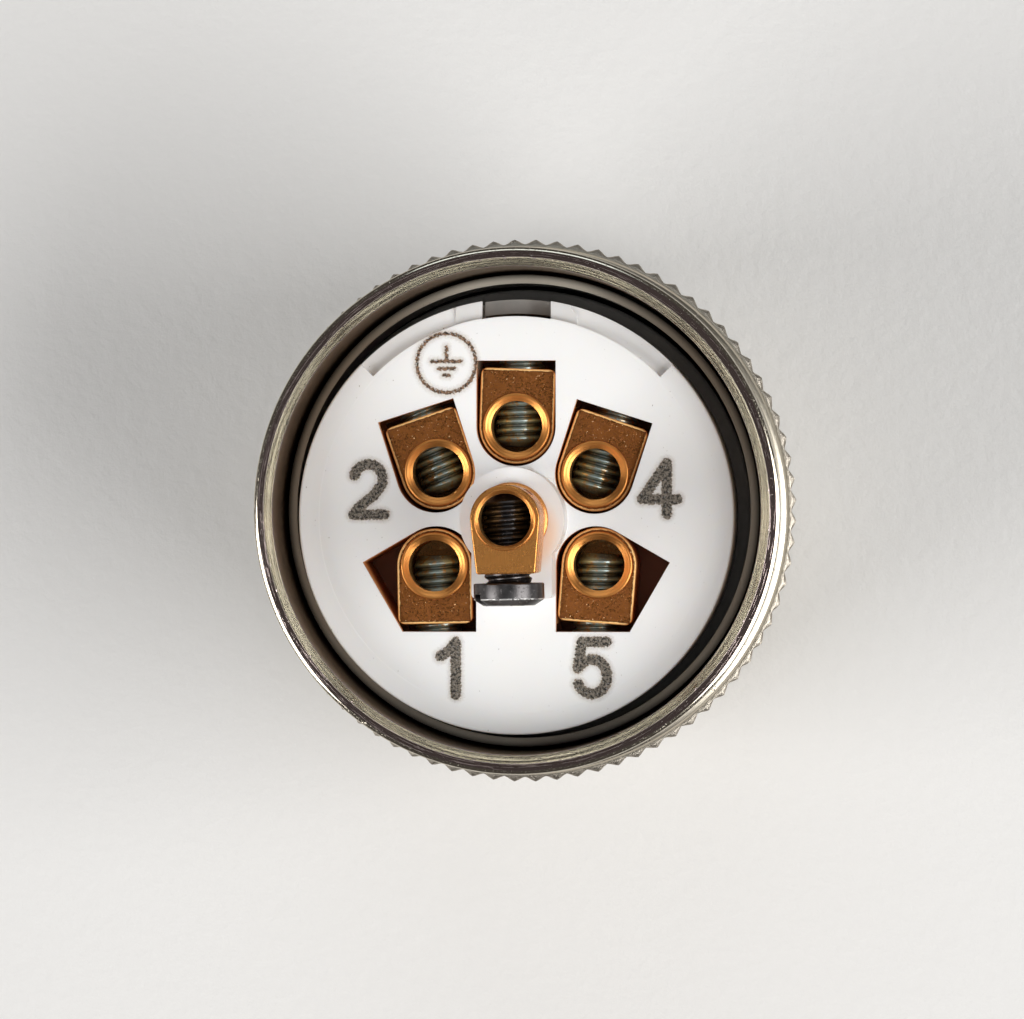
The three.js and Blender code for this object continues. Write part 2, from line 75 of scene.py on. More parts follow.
def length(name, description, millimetres):
    return FloatProperty(
        name=name, description=description, default=millimetres * MM, min=0.0,
        unit="LENGTH", subtype="DISTANCE", precision=5,
    )


def angle(name, description, degrees):
    return FloatProperty(
        name=name, description=description, default=math.radians(degrees), subtype="ANGLE",
    )


def colour(name, description, red, green, blue):
    return FloatVectorProperty(
        name=name, description=description, default=(red, green, blue), subtype="COLOR",
        min=0.0, max=1.0,
    )


def number(name, description, value):
    return FloatProperty(name=name, description=description, default=value, min=0.0)


class ShellSizes(bpy.types.PropertyGroup):
    """Sizes of the metal body and of its coupling nut."""

    rim_flat: length("Rim flat", "Width of the flat ring on the rear rim", 0.44)
    rim_bevel: length("Rim bevel", "Width of the dark bevel outside the flat", 0.35)
    bevel_drop: length("Bevel drop", "Height of the bevel", 0.32)
    shoulder_drop: length("Shoulder drop", "Height of the shoulder outside the bevel", 0.13)
    cup_height: length("Cup height", "Height of the wide rear part", 5.6)
    barrel_length: length("Barrel length", "Length of the narrow front barrel", 11.6)
    floor_thickness: length("Floor", "Thickness of the shoulder inside the body", 1.4)
    sleeve_gap: length("Sleeve gap", "Room around the insulating sleeve", 0.21)
    groove_depth: length("Groove depth", "Depth of the grooves that hold the rings", 0.4)
    barrel_radius: length("Barrel radius", "Outside radius of the front barrel", 10.25)
    barrel_bore: length("Barrel bore", "Inside radius of the front barrel", 9.45)
    body_radius: length("Body radius", "Outside radius under the nut", 12.965)
    edge: length("Edge break", "Small chamfer on turned edges", 0.25)
    tooth_count: IntProperty(
        name="Teeth", description="Number of teeth in the knurl", default=80, min=12, max=160,
    )
    tooth_height: length("Tooth height", "Depth of the knurl", 0.26)
    knurl_length: length("Knurl length", "Length of the knurled band", 10.4)
    knurl_taper: length("Knurl taper", "How much thinner the knurl is at its front end", 0.26)
    nut_shoulder: length("Nut shoulder", "Smooth collar above the knurl", 1.0)
    nut_wall: length("Nut wall", "Wall between the running bore and the knurl", 0.69)
    thread_pitch: length("Thread pitch", "Pitch of the thread inside the nut", 1.0)


class InsertSizes(bpy.types.PropertyGroup):
    """Sizes of the white terminal insert and of its marks."""

    pocket_gap: length("Pocket gap", "Room around a terminal in its pocket", 0.12)
    pocket_depth: length("Pocket depth", "Depth of the pockets below the face", 5.4)
    face_height: length("Face height", "Height of the disc without its hub", 6.6)
    ledge_width: length("Ledge width", "Width of the cut-away ledges", 0.88)
    ledge_depth: length("Ledge depth", "Floor of the ledges below the face", 0.5)
    edge: length("Edge", "Rounding of the moulded edges", 0.07)
    stroke: length("Stroke", "Width of a mark's strokes", 0.4)
    mark_height: length("Mark height", "Height of the numbers", 3.05)


class TerminalSizes(bpy.types.PropertyGroup):
    """Sizes of the brass terminals and their clamping screws."""

    block_radius: length("Block radius", "Round end of a ring terminal", 1.91)
    block_reach: length("Block reach", "From the wire bore's axis to the flat end", 2.96)
    block_height: length("Block height", "Height of a terminal's block", 4.4)
    wire_bore: length("Wire bore", "Radius of the wire bore", 1.31)
    boss_height: length("Boss height", "Turned ring around the wire bore", 0.15)
    block_edge: length("Block edge", "Bevel round a block's top", 0.08)
    screw_radius: length("Screw radius", "Outside radius of the thread", 1.22)
    thread_pitch: length("Thread pitch", "Pitch of the screw's thread", 0.45)
    screw_length: length("Screw length", "Length under the head", 4.5)
    head_radius: length("Head radius", "Radius of the screw's head", 1.77)
    head_height: length("Head height", "Thickness of the screw's head", 1.14)
    driver_slot: length("Driver slot", "Width and depth of the slot", 0.6)


class Finishes(bpy.types.PropertyGroup):
    """Colours of the finishes."""

    nickel: colour("Nickel", "Plated body and nut", 0.66, 0.605, 0.50)
    brass: colour("Brass", "Terminals", 0.90, 0.32, 0.075)
    steel: colour("Dark steel", "Screw of the centre terminal", 0.10, 0.095, 0.095)
    zinc: colour("Zinc plate", "Screws of the outer terminals", 0.55, 0.68, 0.66)
    spring: colour("Spring steel", "Snap ring", 0.42, 0.43, 0.45)
    white: colour("White plastic", "Terminal insert", 0.92, 0.915, 0.90)
    grey: colour("Grey plastic", "Contact carrier", 0.44, 0.43, 0.41)
    black: colour("Black plastic", "Insulating sleeve", 0.05, 0.048, 0.042)
    rubber: colour("Rubber", "Sealing rings", 0.012, 0.012, 0.012)
    ink: colour("Numbers", "Burnt-in numbers on the insert", 0.17, 0.145, 0.115)
    singe: colour("Earth sign", "Burnt-in earth sign on the insert", 0.20, 0.11, 0.06)
    paper: colour("Paper", "Floor of the stage", 0.79, 0.78, 0.765)


class StageSizes(bpy.types.PropertyGroup):
    """Camera and lights."""

    distance: length("Camera distance", "From the rear rim to the camera", 300.0)
    tilt: angle("Tilt", "How far the camera leans to the right", 4.0)
    aim_x: FloatProperty(
        name="Aim X", description="Where the camera looks, across", default=-0.00019,
        unit="LENGTH", precision=5,
    )
    aim_y: FloatProperty(
        name="Aim Y", description="Where the camera looks, upwards", default=0.000057,
        unit="LENGTH", precision=5,
    )
    lens: FloatProperty(
        name="Lens", description="Focal length in millimetres", default=208.9, min=1.0,
    )
    right_light: number("Right light", "Power of the large light at the right", 3.0)
    left_light: number("Left light", "Power of the light at the lower left", 1.8)
    far_light: number("Far light", "Power of the cool light beyond the earth terminal", 0.25)
    ceiling: number("Ceiling", "Power of the dim light straight above", 0.16)
    surroundings: number("Surroundings", "Strength of the light all around", 0.08)


# ------------------------------------------------------------------ modelling by hand


def deselect():
    if bpy.context.mode != "OBJECT":
        bpy.ops.object.mode_set(mode="OBJECT")
    bpy.ops.object.select_all(action="DESELECT")


def only(*pieces):
    deselect()
    for piece in pieces:
        piece.select_set(True)
    bpy.context.view_layer.objects.active = pieces[0]


def named(name):
    """Name the new primitive and put its place in its mesh."""
    piece = bpy.context.active_object
    piece.name = piece.data.name = name
    bpy.ops.object.transform_apply(location=True, rotation=True, scale=True)
    return piece


@contextmanager
def editing(piece):
    only(piece)
    bpy.ops.object.mode_set(mode="EDIT")
    bpy.ops.mesh.select_all(action="SELECT")
    yield
    bpy.ops.object.mode_set(mode="OBJECT")


def pick(kind, test):
    """Select, in edit mode, the corners, edges or faces that pass a test."""
    bpy.ops.mesh.select_mode(type=kind)
    bpy.ops.mesh.select_all(action="DESELECT")
    mesh = bpy.context.edit_object.data
    shape = bmesh.from_edit_mesh(mesh)
    for item in {"VERT": shape.verts, "EDGE": shape.edges, "FACE": shape.faces}[kind]:
        if test(item):
            item.select_set(True)
    shape.select_flush_mode()
    bmesh.update_edit_mesh(mesh)


def middle(edge):
    return (edge.verts[0].co + edge.verts[1].co) / 2


def tidy_shell():
    """Weld what coincides and turn all faces outwards, in edit mode."""
    bpy.ops.mesh.select_all(action="SELECT")
    bpy.ops.mesh.remove_doubles(threshold=FINE)
    bpy.ops.mesh.normals_make_consistent(inside=False)


def softened(profile, size, steps=3, closed=True):
    """A profile with its corners cut round, each no wider than 0.4 of its shorter side."""
    count = len(profile)
    rounded = []
    for i, corner in enumerate(profile):
        if not closed and i in (0, count - 1):
            rounded.append(corner)
            continue
        here = np.array(corner)
        before = np.array(profile[i - 1]) - here
        after = np.array(profile[(i + 1) % count]) - here
        spans = np.linalg.norm(before), np.linalg.norm(after)
        if np.dot(before, after) / (spans[0] * spans[1]) < -0.985:
            rounded.append(corner)
            continue
        cut = min(size, 0.4 * spans[0], 0.4 * spans[1])
        start, end = here + before / spans[0] * cut, here + after / spans[1] * cut
        for step in range(steps + 1):
            t = step / steps
            point = (1 - t) ** 2 * start + 2 * t * (1 - t) * here + t * t * end
            rounded.append((float(point[0]), float(point[1])))
    return rounded


def turned(name, profile, corners=ROUND, solid=False):
    """A turned piece: a circle pulled from point to point of a profile in metres.
    The profile closes on itself, or for a solid piece its two ends are filled."""
    deselect()
    radius, height = profile[0]
    bpy.ops.mesh.primitive_circle_add(vertices=corners, radius=radius, location=(0, 0, height))
    piece = named(name)
    path = profile[1:] if solid else profile[1:] + profile[:1]
    with editing(piece):
        for next_radius, next_height in path:
            rise = {"value": (0, 0, next_height - height)}
            bpy.ops.mesh.extrude_edges_move(TRANSFORM_OT_translate=rise)
            share = next_radius / radius
            bpy.ops.transform.resize(
                value=(share, share, 1), center_override=(0, 0, next_height),
            )
            radius, height = next_radius, next_height
        if solid:
            bpy.ops.mesh.select_all(action="SELECT")
            bpy.ops.mesh.fill_holes(sides=0)
        tidy_shell()
    return piece


def blunt_bar(name, radius, half_width, end_half, reach, corner, lower, upper):
    """A bar along Z, round about the origin at -X, with straight sides and a flat end at +X."""
    deselect()
    bpy.ops.mesh.primitive_circle_add(
        vertices=SMALL_ROUND, radius=radius, fill_type="NGON", location=(0, 0, lower),
    )
    piece = named(name)
    start = math.sqrt(max(radius ** 2 - half_width ** 2, 0.0))
    with editing(piece):
        bpy.ops.mesh.bisect(plane_co=(start, 0, lower), plane_no=(1, 0, 0), clear_outer=True)
        pick("EDGE", lambda e: abs(middle(e).x - start) < FINE * 10 and e.is_boundary)
        bpy.ops.mesh.extrude_edges_move(
            TRANSFORM_OT_translate={"value": (reach - start, 0, 0)},
        )
        bpy.ops.transform.resize(
            value=(1, end_half / half_width, 1), center_override=(reach, 0, lower),
        )
        if corner > 0:
            pick("VERT", lambda v: v.co.x > reach - FINE * 10)
            bpy.ops.mesh.bevel(offset=corner, segments=5, affect="VERTICES")
        bpy.ops.mesh.select_all(action="SELECT")
        bpy.ops.mesh.select_mode(type="FACE")
        bpy.ops.mesh.extrude_region_move(
            TRANSFORM_OT_translate={"value": (0, 0, upper - lower)},
        )
        tidy_shell()
    return piece


def round_bar(name, radius, lower, upper, corners=SMALL_ROUND):
    """A plain round cutter along Z."""
    deselect()
    bpy.ops.mesh.primitive_cylinder_add(
        vertices=corners, radius=radius, depth=upper - lower,
        location=(0, 0, (lower + upper) / 2),
    )
    return named(name)


def square_bar(name, low, high):
    """A plain square cutter between two corners."""
    deselect()
    bpy.ops.mesh.primitive_cube_add(size=1, location=[(a + b) / 2 for a, b in zip(low, high)])
    bpy.context.active_object.scale = [b - a for a, b in zip(low, high)]
    return named(name)


def sector(name, inner, outer, start, end, lower, upper):
    """Part of a ring between two radii and two angles, in degrees: a cutter."""
    deselect()
    bpy.ops.mesh.primitive_plane_add(
        size=1, location=((inner + outer) / 2, 0, (lower + upper) / 2),
        rotation=(math.pi / 2, 0, 0),
    )
    bpy.context.active_object.scale = (outer - inner, upper - lower, 1)
    piece = named(name)
    steps = max(2, round((end - start) / 3))
    with editing(piece):
        bpy.ops.mesh.spin(
            steps=steps, angle=math.radians(end - start), center=(0, 0, 0), axis=(0, 0, 1),
        )
        tidy_shell()
    way = sum(v.co.y for v in piece.data.vertices)
    from_angle = start if way > 0 else end
    place(piece, 0, 0, from_angle)
    return piece


def place(piece, x, y, degrees=0.0, rise=0.0):
    """Turn a piece about Z and move it, and keep its place in its mesh."""
    only(piece)
    piece.rotation_euler = (0, 0, math.radians(degrees))
    piece.location = (x, y, rise)
    bpy.ops.object.transform_apply(location=True, rotation=True, scale=True)
    return piece


def boolean(piece, operation, *tools):
    """Cut or join the tools and remove them."""
    for tool in tools:
        only(piece)
        bpy.ops.object.modifier_add(type="BOOLEAN")
        step = piece.modifiers[-1]
        step.operation, step.solver, step.object = operation, "EXACT", tool
        bpy.ops.object.modifier_apply(modifier=step.name)
        bpy.data.objects.remove(tool)
    return piece


def bevelled(piece, width, segments=2, limit=30.0):
    only(piece)
    bpy.ops.object.modifier_add(type="BEVEL")
    step = piece.modifiers[-1]
    step.width, step.segments = width, segments
    step.limit_method, step.angle_limit = "ANGLE", math.radians(limit)
    step.use_clamp_overlap = True
    bpy.ops.object.modifier_apply(modifier=step.name)
    return piece


def smoothed(piece, limit=35.0):
    """Smooth shading with crisp edges and flat faces that stay flat."""
    only(piece)
    bpy.ops.object.shade_smooth_by_angle(angle=math.radians(limit))
    bpy.ops.object.modifier_add(type="WEIGHTED_NORMAL")
    piece.modifiers[-1].keep_sharp = True
    bpy.ops.object.modifier_apply(modifier=piece.modifiers[-1].name)
    return piece


def copied(piece, name):
    """A copy with its own mesh."""
    only(piece)
    bpy.ops.object.duplicate()
    twin = bpy.context.active_object
    twin.name = twin.data.name = name
    return twin


def joined(piece, *others):
    only(piece, *others)
    bpy.ops.object.join()
    return piece


def remember_place(piece, level=0.0):
    """Store each corner's place before the piece is moved, with its height from a level."""
    spots = piece.data.attributes.new("own_place", "FLOAT_VECTOR", "POINT")
    flat = np.empty(len(piece.data.vertices) * 3, np.float32)
    piece.data.vertices.foreach_get("co", flat)
    flat[2::3] -= level
    spots.data.foreach_set("vector", flat)
    return piece


def dressed(piece, finish, body, slot, *nodes):
    """Give a piece its finish, the body it moves with and the solids it stands for."""
    piece.data.materials.clear()
    piece.data.materials.append(finish)
    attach(piece, body)
    if nodes:
        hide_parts(*nodes)
    return piece


# ------------------------------------------------------------------ finishes


class Wire:
    """An output socket that takes part in sums."""

    def __init__(self, finish, socket):
        self.finish, self.socket = finish, socket

    def sum_with(self, operation, first, second):
        return self.finish.node("Math", {"operation": operation}, {0: first, 1: second})

    def __add__(self, other):
        return self.sum_with("ADD", self, other)

    __radd__ = __add__

    def __sub__(self, other):
        return self.sum_with("SUBTRACT", self, other)

    def __rsub__(self, other):
        return self.sum_with("SUBTRACT", other, self)

    def __mul__(self, other):
        return self.sum_with("MULTIPLY", self, other)

    __rmul__ = __mul__


class Finish:
    """A material drawn with nodes around one surface shader."""

    def __init__(self, name, constants):
        self.material = bpy.data.materials.new(name + "_finish")
        self.material.use_nodes = True
        self.tree = self.material.node_tree
        self.shader = self.tree.nodes["Principled BSDF"]
        for socket, value in constants.items():
            self.shader.inputs[socket].default_value = value

    def node(self, kind, settings=None, sockets=None, output=0):
        """Any node: its type, its settings, then the values or links of its sockets."""
        node = self.tree.nodes.new("ShaderNode" + kind)
        for key, value in (settings or {}).items():
            if key == "stops":
                self.set_stops(node.color_ramp, value)
            else:
                setattr(node, key, value)
        for key, value in (sockets or {}).items():
            self.feed(node.inputs[key], value)
        return Wire(self, node.outputs[output])

    @staticmethod
    def set_stops(ramp, stops):
        while len(ramp.elements) < len(stops):
            ramp.elements.new(1.0)
        for element, (position, shade) in zip(ramp.elements, stops):
            element.position = position
            element.color = (*shade, 1.0) if isinstance(shade, tuple) else (shade,) * 3 + (1.0,)

    def feed(self, socket, value):
        if isinstance(value, Wire):
            self.tree.links.new(value.socket, socket)
        elif hasattr(socket.default_value, "__len__") and not isinstance(value, (int, float)):
            values = list(value)
            socket.default_value = values + [1.0] * (len(socket.default_value) - len(values))
        else:
            socket.default_value = value

    def wear(self, socket, value):
        """Feed one of the surface shader's sockets."""
        self.feed(self.shader.inputs[socket], value)

    def spot(self):
        """The place on the object, in millimetres."""
        here = self.node("TexCoord", output="Object")
        return self.scaled(here, 1 / MM)

    def own_spot(self):
        """The place on the piece before it was moved, in millimetres."""
        here = self.node("Attribute", {"attribute_name": "own_place"}, output="Vector")
        return self.scaled(here, 1 / MM)

    def scaled(self, vector, scale):
        return self.node(
            "VectorMath", {"operation": "SCALE"}, {"Vector": vector, "Scale": scale},
        )

    def parts(self, vector):
        split = self.tree.nodes.new("ShaderNodeSeparateXYZ")
        self.feed(split.inputs[0], vector)
        return [Wire(self, output) for output in split.outputs]

    def length_of(self, vector):
        return self.node("VectorMath", {"operation": "LENGTH"}, {"Vector": vector}, "Value")

    def vector(self, x, y, z):
        return self.node("CombineXYZ", None, {"X": x, "Y": y, "Z": z})

    def noise(self, vector, scale, detail=2.0, roughness=0.5, kind="3D"):
        return self.node(
            "TexNoise", {"noise_dimensions": kind},
            {"Vector": vector, "Scale": scale, "Detail": detail, "Roughness": roughness},
        )

    def ramp(self, value, *stops):
        return self.node("ValToRGB", {"stops": stops}, {"Fac": value})

    def step(self, value, low, high):
        """0 below one value, 1 above another, and a smooth rise between them."""
        return self.node(
            "MapRange", {"interpolation_type": "SMOOTHSTEP", "clamp": True},
            {"Value": value, "From Min": low, "From Max": high},
        )

    def blend(self, factor, first, second):
        """Mix two colours."""
        node = self.tree.nodes.new("ShaderNodeMix")
        node.data_type = "RGBA"
        self.feed(node.inputs[0], factor)
        self.feed(node.inputs[6], first)
        self.feed(node.inputs[7], second)
        return Wire(self, node.outputs[2])

    def bump(self, height, strength, distance, normal=None):
        sockets = {"Height": height, "Strength": strength, "Distance": distance}
        if normal is not None:
            sockets["Normal"] = normal
        return self.node("Bump", None, sockets)

    def turning(self, vector, across, around):
        """Fine lines as a lathe leaves them round the Z axis of the given place."""
        x, y, z = self.parts(vector)
        flat = self.vector(x, y, 0.0)
        radius = self.length_of(flat)
        turn = self.node("Math", {"operation": "ARCTAN2"}, {0: y, 1: x})
        return self.noise(
            self.vector(radius * across, z * across, turn * around), 1.0, 3.0, 0.6,
        )


def tinted(shade, share):
    """A colour made lighter or darker."""
    return tuple(min(1.0, part * share) for part in shade)


def plated(name, shades, tint, gloss):
    """Nickel plate with stains, flecks and small nicks: the finish, its place, its distance
    from the axis, its colour, its roughness and its dents."""
    finish = Finish(name, {"Metallic": 1.0})
    spot = finish.spot()
    cloud = finish.noise(spot, 0.35, 3.0)
    stain = finish.step(finish.noise(spot, 1.3, 5.0, 0.65), 0.56, 0.74)
    fleck = finish.step(finish.noise(spot, 15.0, 3.0, 0.6), 0.60, 0.68)
    nick = finish.step(finish.noise(spot, 3.0, 2.0, 0.4), 0.72, 0.75)
    base = finish.blend(cloud, tinted(tint, 0.90), tinted(tint, 1.08))
    base = finish.blend(stain * 0.35, base, (0.30, 0.25, 0.20))
    x, y, z = finish.parts(spot)
    radius = finish.length_of(finish.vector(x, y, 0.0))
    rough = gloss + 0.08 * cloud + 0.08 * stain + 0.1 * nick
    return finish, spot, radius, base, rough, fleck, nick


def nickel_finish(shades):
    """Polished plate, with a fine-turned flat ring on the rim, a dark bevel speckled with nicks and painted glints,
    and painted shade inside the bore.
    """
    finish, spot, radius, base, rough, fleck, nick = plated("nickel", shades, shades.nickel, 0.06)
    shell = bpy.context.scene.connector_shell
    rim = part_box("connector_body")[1].z / MM
    z = finish.parts(spot)[2]
    flat_end = (radius_of("insulating_sleeve") + shell.sleeve_gap + shell.rim_flat) / MM
    wear_and_sheen = finish.step(finish.noise(spot, 2.6, 4.0, 0.7), 0.60, 0.66)
    wear_and_sheen = wear_and_sheen * finish.step(radius, flat_end - 0.11, flat_end - 0.02)
    flat = finish.step(z, rim - 0.016, rim - 0.004) * (1.0 - wear_and_sheen)
    bevel = finish.step(z, rim - shell.bevel_drop / MM - 0.01, rim - shell.bevel_drop / MM + 0.03)
    bevel = bevel * (1.0 - flat)
    # Light flecks and short dashes along the turning on the bevel: nicks in the bump, and a painted glint in their
    # light colour.
    nicks_and_glints = finish.step(finish.noise(spot, 7.0, 2.0, 0.6), 0.70, 0.73)
    nicks_and_glints = nicks_and_glints + finish.step(finish.turning(spot, 12.0, 5.0), 0.56, 0.66) * 0.3
    nicks_and_glints = nicks_and_glints * bevel
    # Painted shade: inside the rim's bore the plate gets a darker, browner base colour.
    inside = 1.0 - finish.step(radius, flat_end - shell.rim_flat / MM + 0.01, flat_end - shell.rim_flat / MM + 0.03)
    base = finish.blend(inside, base, (0.42, 0.31, 0.22))
    base = finish.blend(flat, base, (0.38, 0.342, 0.252))
    base = finish.blend(bevel, base, (0.56, 0.45, 0.43))
    finish.wear("Base Color", finish.blend(nicks_and_glints * 0.7, base, (0.90, 0.84, 0.76)))
    plain = (1.0 - flat) * (1.0 - bevel)
    finish.wear("Roughness", rough + 0.25 * fleck * plain + 0.06 * flat + 0.2 * inside)
    fine = finish.turning(spot, 62.0, 0.3)
    cut = finish.bump(fine * (0.02 + flat), 1.0, 0.00005)
    dents = (fleck * 0.25 + nick) * plain + nicks_and_glints
    finish.wear("Normal", finish.bump(dents, 0.3, 0.00002, cut))
    return finish.material


def satin_nickel_finish(shades):
    """Duller plate on the nut, and darker still on the knurl."""
    tint = tinted(shades.nickel, 0.9)
    finish, spot, radius, base, rough, fleck, nick = plated("satin_nickel", shades, tint, 0.24)
    finish.shader.inputs["Specular Tint"].default_value = (0.5, 0.45, 0.4, 1.0)
    shell = bpy.context.scene.connector_shell
    foot = (radius_of("coupling_nut") - shell.tooth_height - shell.knurl_taper) / MM
    high = (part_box("coupling_nut")[1].z - shell.nut_shoulder) / MM
    low = high - shell.knurl_length / MM
    z = finish.parts(spot)[2]
    knurl = finish.step(radius, foot - 0.1, foot - 0.02) * finish.step(z, low - 0.01, low + 0.01)
    knurl = knurl * (1.0 - finish.step(z, high - 0.01, high + 0.01))
    lines = finish.turning(spot, 9.0, 0.7)
    grain = finish.noise(spot, 14.0, 3.0, 0.6)
    dull = finish.blend(grain, (0.34, 0.305, 0.26), (0.58, 0.53, 0.45))
    finish.wear("Base Color", finish.blend(knurl, base, dull))
    finish.wear("Roughness", rough + 0.1 * fleck)
    cut = finish.bump(lines * 0.2 + grain * knurl, 0.6, 0.00005)
    finish.wear("Normal", finish.bump(fleck * 0.15 + nick, 0.35, 0.00004, cut))
    return finish.material


def brass(name, shades, dark, light, dirt):
    """Stained block tops between two depths of colour, bright turned rings, ragged edges painted
    as bright highlight lines with painted shadow inside them, and golden walls in the wire bore darkened with
    painted shade."""
    finish = Finish(name, {})
    spot, own = finish.spot(), finish.own_spot()
    x, y, height = finish.parts(own)
    terminal = bpy.context.scene.connector_terminals
    radius = finish.length_of(finish.vector(x, y, 0.0))
    behind = finish.node("Math", {"operation": "MINIMUM"}, {0: x, 1: 0.0})
    across = finish.length_of(finish.vector(behind, y, 0.0))
    inset = finish.node("Math", {"operation": "MINIMUM"}, {
        0: terminal.block_radius / MM - across, 1: terminal.block_reach / MM - x,
    })
    rings = finish.turning(own, 16.0, 0.5)
    cloud = finish.noise(spot, 0.9, 4.0, 0.6)
    crown = finish.step(height, 0.004, 0.02)
    dirty = (1.0 - crown) * dirt
    speckle = finish.step(finish.noise(spot, 8.0, 6.0, 0.8), 0.44, 0.62) * dirty
    fleck = finish.step(finish.noise(spot, 12.0, 4.0, 0.75), 0.60, 0.68) * dirty
    bright = finish.step(finish.noise(spot, 12.0, 1.0, 0.4), 0.735, 0.76) * dirty
    streaks = finish.noise(finish.node("VectorMath", {"operation": "MULTIPLY"}, {
        0: spot, 1: (16.0, 1.6, 16.0)}), 1.0, 3.0, 0.6) * (1.0 - dirt)
    ragged = inset + (0.12 + 0.22 * (1.0 - dirt)) * (finish.noise(spot, 5.0, 3.0, 0.7) - 0.5)
    wall = (1.0 - finish.step(radius, 1.33, 1.36)) * (1.0 - finish.step(height, -0.3, -0.1))
    side = (1.0 - finish.step(height, -0.3, -0.12)) * (1.0 - wall)
    # Painted highlight: the bevelled edge round the block top is bare brass given a light colour, lower metallic
    # and more roughness, so it reads as a bright line on every side.
    edge = 1.0 - finish.step(ragged, 0.085, 0.12)
    edge = edge * (1.0 - crown) * (1.0 - wall) * (1.0 - side)
    shadow = (1.0 - finish.step(ragged, 0.10, 0.24)) * (1.0 - crown)
    red, green, blue = shades.brass
    bare = (red, green * (1.2 - 0.2 * dirt), blue * (1.35 - 0.35 * dirt))
    dull = finish.blend(cloud, tinted(bare, dark), tinted(bare, light))
    dull = finish.blend(speckle * 0.5, dull, (0.14, 0.052, 0.032))
    dull = finish.blend(streaks * 0.7, dull, tinted(bare, light * 1.25))
    dull = finish.blend(fleck * 0.22, dull, shades.brass)
    dull = finish.blend(shadow * 0.5, dull, (0.10, 0.032, 0.012))
    gold = (red, green * 1.18, blue * 1.35)
    ring = finish.blend(rings, tinted(gold, 0.70), tinted(gold, 1.05))
    base = finish.blend(crown, dull, ring)
    base = finish.blend(side, base, tinted(gold, 0.85))
    # Painted shade: the wire bore's wall gets a darker golden brown and lower metallic.
    base = finish.blend(wall, base, (0.45, 0.26, 0.09))
    base = finish.blend(edge, base, (1.0, 0.62, 0.24))
    finish.wear("Base Color", finish.blend(bright * 0.8, base, (0.95, 0.70, 0.40)))
    finish.wear("Metallic", 1.0 - 0.55 * edge - 0.45 * side - 0.35 * wall)
    finish.wear("Roughness", 0.22 + 0.06 * crown + 0.1 * cloud + 0.12 * speckle + 0.1 * edge)
    grain = finish.bump(rings * (0.4 * dirty + crown) + streaks, 1.0, 0.000015)
    finish.wear("Normal", finish.bump(speckle + fleck + bright, 0.3, 0.00002, grain))
    return finish.material


def brass_finish(shades):
    return brass("brass", shades, 0.21, 0.40, 1.0)


def clean_brass_finish(shades):
    return brass("clean_brass", shades, 0.58, 0.82, 0.04)


def steel_finish(shades):
    """Blackened steel, with light dashes painted in places along the edges of the head's bevel as glints."""
    finish = Finish("dark_steel", {"Metallic": 1.0})
    spot, own = finish.spot(), finish.own_spot()
    x, y, z = finish.parts(own)
    radius = finish.length_of(finish.vector(x, y, 0.0))
    cloud = finish.noise(spot, 2.2, 4.0, 0.6)
    chip = finish.step(finish.noise(spot, 9.0, 3.0, 0.6), 0.62, 0.70)
    rim = finish.step(radius, 1.71, 1.755) * finish.step(z, 3.91, 3.97) * (1.0 - finish.step(z, 4.0, 4.04))
    rim = rim + finish.step(z, 4.25, 4.29) * finish.step(radius, 1.18, 1.22) * 0.7
    # Painted glints: light dashes in places along the edges of the head's bevel and of its top.
    glint_dashes = rim * finish.step(finish.noise(spot, 2.1, 5.0, 0.8), 0.40, 0.50)
    base = finish.blend(cloud, tinted(shades.steel, 0.5), tinted(shades.steel, 1.6))
    base = finish.blend(chip * 0.7, base, tinted(shades.steel, 4.0))
    finish.wear("Base Color", finish.blend(glint_dashes, base, (0.85, 0.84, 0.82)))
    finish.wear("Roughness", 0.22 + 0.2 * cloud + 0.15 * glint_dashes)
    finish.wear("Normal", finish.bump(chip + glint_dashes, 0.5, 0.00002))
    return finish.material


def zinc_finish(shades):
    """Blue-green zinc plate on the threads, with golden-brown patches, partly stain and partly a painted reflection
    of the brass bore, and painted shade in the thread's roots.
    """
    finish = Finish("zinc_steel", {"Metallic": 0.95})
    spot = finish.spot()
    x, y, z = finish.parts(finish.own_spot())
    terminal = bpy.context.scene.connector_terminals
    crest = terminal.screw_radius / MM
    head = finish.step(z, terminal.block_reach / MM + 0.2, terminal.block_reach / MM + 0.3)
    # Painted shade: the thread's roots, away from the head, get a dark brown base.
    root_shade = 1.0 - finish.step(finish.length_of(finish.vector(x, y, 0.0)), crest - 0.13, crest - 0.03)
    root_shade = root_shade * (1.0 - head)
    cloud = finish.noise(spot, 1.6, 4.0, 0.6)
    stain = finish.step(finish.noise(spot, 3.0, 4.0, 0.65), 0.50, 0.64)
    chip = finish.step(finish.noise(spot, 12.0, 2.0, 0.5), 0.64, 0.70)
    base = finish.blend(cloud, tinted(shades.zinc, 0.75), tinted(shades.zinc, 1.2))
    # Golden-brown patches: partly stain, partly a painted reflection of the brass bore walls.
    base = finish.blend(stain * 0.8, base, (0.80, 0.47, 0.14))
    base = finish.blend(root_shade * 0.65, base, (0.10, 0.065, 0.03))
    finish.wear("Base Color", finish.blend(chip * 0.5, base, (0.9, 0.88, 0.80)))
    finish.wear("Roughness", 0.27 + 0.16 * cloud + 0.15 * head)
    finish.wear("Normal", finish.bump(chip, 0.4, 0.00002))
    return finish.material


def spring_finish(shades):
    finish = Finish("spring_steel", {"Metallic": 1.0})
    spot = finish.spot()
    lines = finish.turning(spot, 20.0, 1.0)
    base = finish.blend(lines, tinted(shades.spring, 0.8), tinted(shades.spring, 1.1))
    finish.wear("Base Color", base)
    finish.wear("Roughness", 0.3 + 0.12 * lines)
    finish.wear("Normal", finish.bump(lines, 0.2, 0.00003))
    return finish.material


